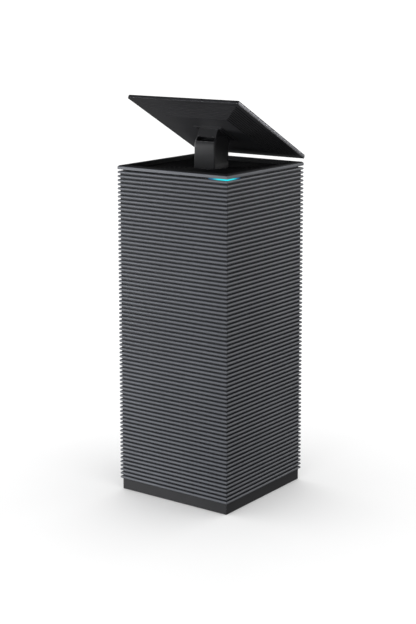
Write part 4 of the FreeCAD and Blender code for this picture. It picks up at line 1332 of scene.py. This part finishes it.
class KIOSK_OT_stage(Operator):
    """Set up the floor, the studio lights and the camera"""
    bl_idname = "kiosk.stage"
    bl_label = "Stage"

    def execute(self, context):
        stage = context.scene.kiosk.stage
        mesh = bmesh.new()
        bmesh.ops.create_grid(mesh, x_segments=8, y_segments=8, size=stage.floor_size / 2)
        data = bpy.data.meshes.new("studio_floor")
        mesh.to_mesh(data)
        mesh.free()
        floor = bpy.data.objects.new("studio_floor", data)
        context.scene.collection.objects.link(floor)
        data.materials.append(studio_floor("studio_floor", stage.floor))

        context.scene.world = studio_world("studio", stage.ambient)
        context.scene.view_settings.view_transform = "Standard"

        off_floor = floor_links(floor, "EXCLUDE")
        for name, place, height, size, share, colour in SOFTBOXES:
            target = Vector((0, 0, height))
            lamp = add_softbox(name, place, target, size, share * stage.key, colour)
            lamp.light_linking.receiver_collection = off_floor
        light_floor(floor, stage.floor_light)

        back = Vector((math.sin(stage.azimuth) * math.cos(stage.elevation),
                       -math.cos(stage.azimuth) * math.cos(stage.elevation),
                       math.sin(stage.elevation)))
        lens = bpy.data.cameras.new("camera")
        lens.lens = stage.lens
        lens.sensor_width = SENSOR_WIDTH
        lens.shift_x = stage.shift_side
        lens.shift_y = stage.shift_up
        camera = bpy.data.objects.new("camera", lens)
        context.scene.collection.objects.link(camera)
        camera.location = Vector((0, 0, stage.aim)) + back * stage.distance
        camera.rotation_mode = "QUATERNION"
        camera.rotation_quaternion = (-back).to_track_quat("-Z", "Y")
        context.scene.camera = camera
        return {"FINISHED"}


class KIOSK_PT_panel(Panel):
    """Buttons for every piece, and the settings"""
    bl_idname = "KIOSK_PT_panel"
    bl_label = "Touchscreen kiosk"
    bl_space_type = "VIEW_3D"
    bl_region_type = "UI"
    bl_category = "Kiosk"

    def draw(self, context):
        for operator in OPERATORS:
            self.layout.operator(operator.bl_idname)
        settings = context.scene.kiosk
        for group in (settings.column, settings.rim, settings.head, settings.stage):
            box = self.layout.box()
            for name in group.__annotations__:
                box.prop(group, name)


GROUPS = (ColumnSettings, RimSettings, HeadSettings, StageSettings, KioskSettings)
OPERATORS = (KIOSK_OT_cladding, KIOSK_OT_rim, KIOSK_OT_light, KIOSK_OT_neck,
             KIOSK_OT_display_back, KIOSK_OT_display_front, KIOSK_OT_fittings, KIOSK_OT_stage)


def register():
    for kind in GROUPS + OPERATORS + (KIOSK_PT_panel,):
        bpy.utils.register_class(kind)
    bpy.types.Scene.kiosk = PointerProperty(type=KioskSettings)


def unregister():
    del bpy.types.Scene.kiosk
    for kind in reversed(GROUPS + OPERATORS + (KIOSK_PT_panel,)):
        bpy.utils.unregister_class(kind)


def main():
    register()
    bpy.ops.kiosk.cladding()
    bpy.ops.kiosk.rim()
    bpy.ops.kiosk.light()
    bpy.ops.kiosk.neck()
    bpy.ops.kiosk.display_back()
    bpy.ops.kiosk.display_front()
    bpy.ops.kiosk.fittings()
    bpy.ops.kiosk.stage()


if __name__ == "__main__":
    main()
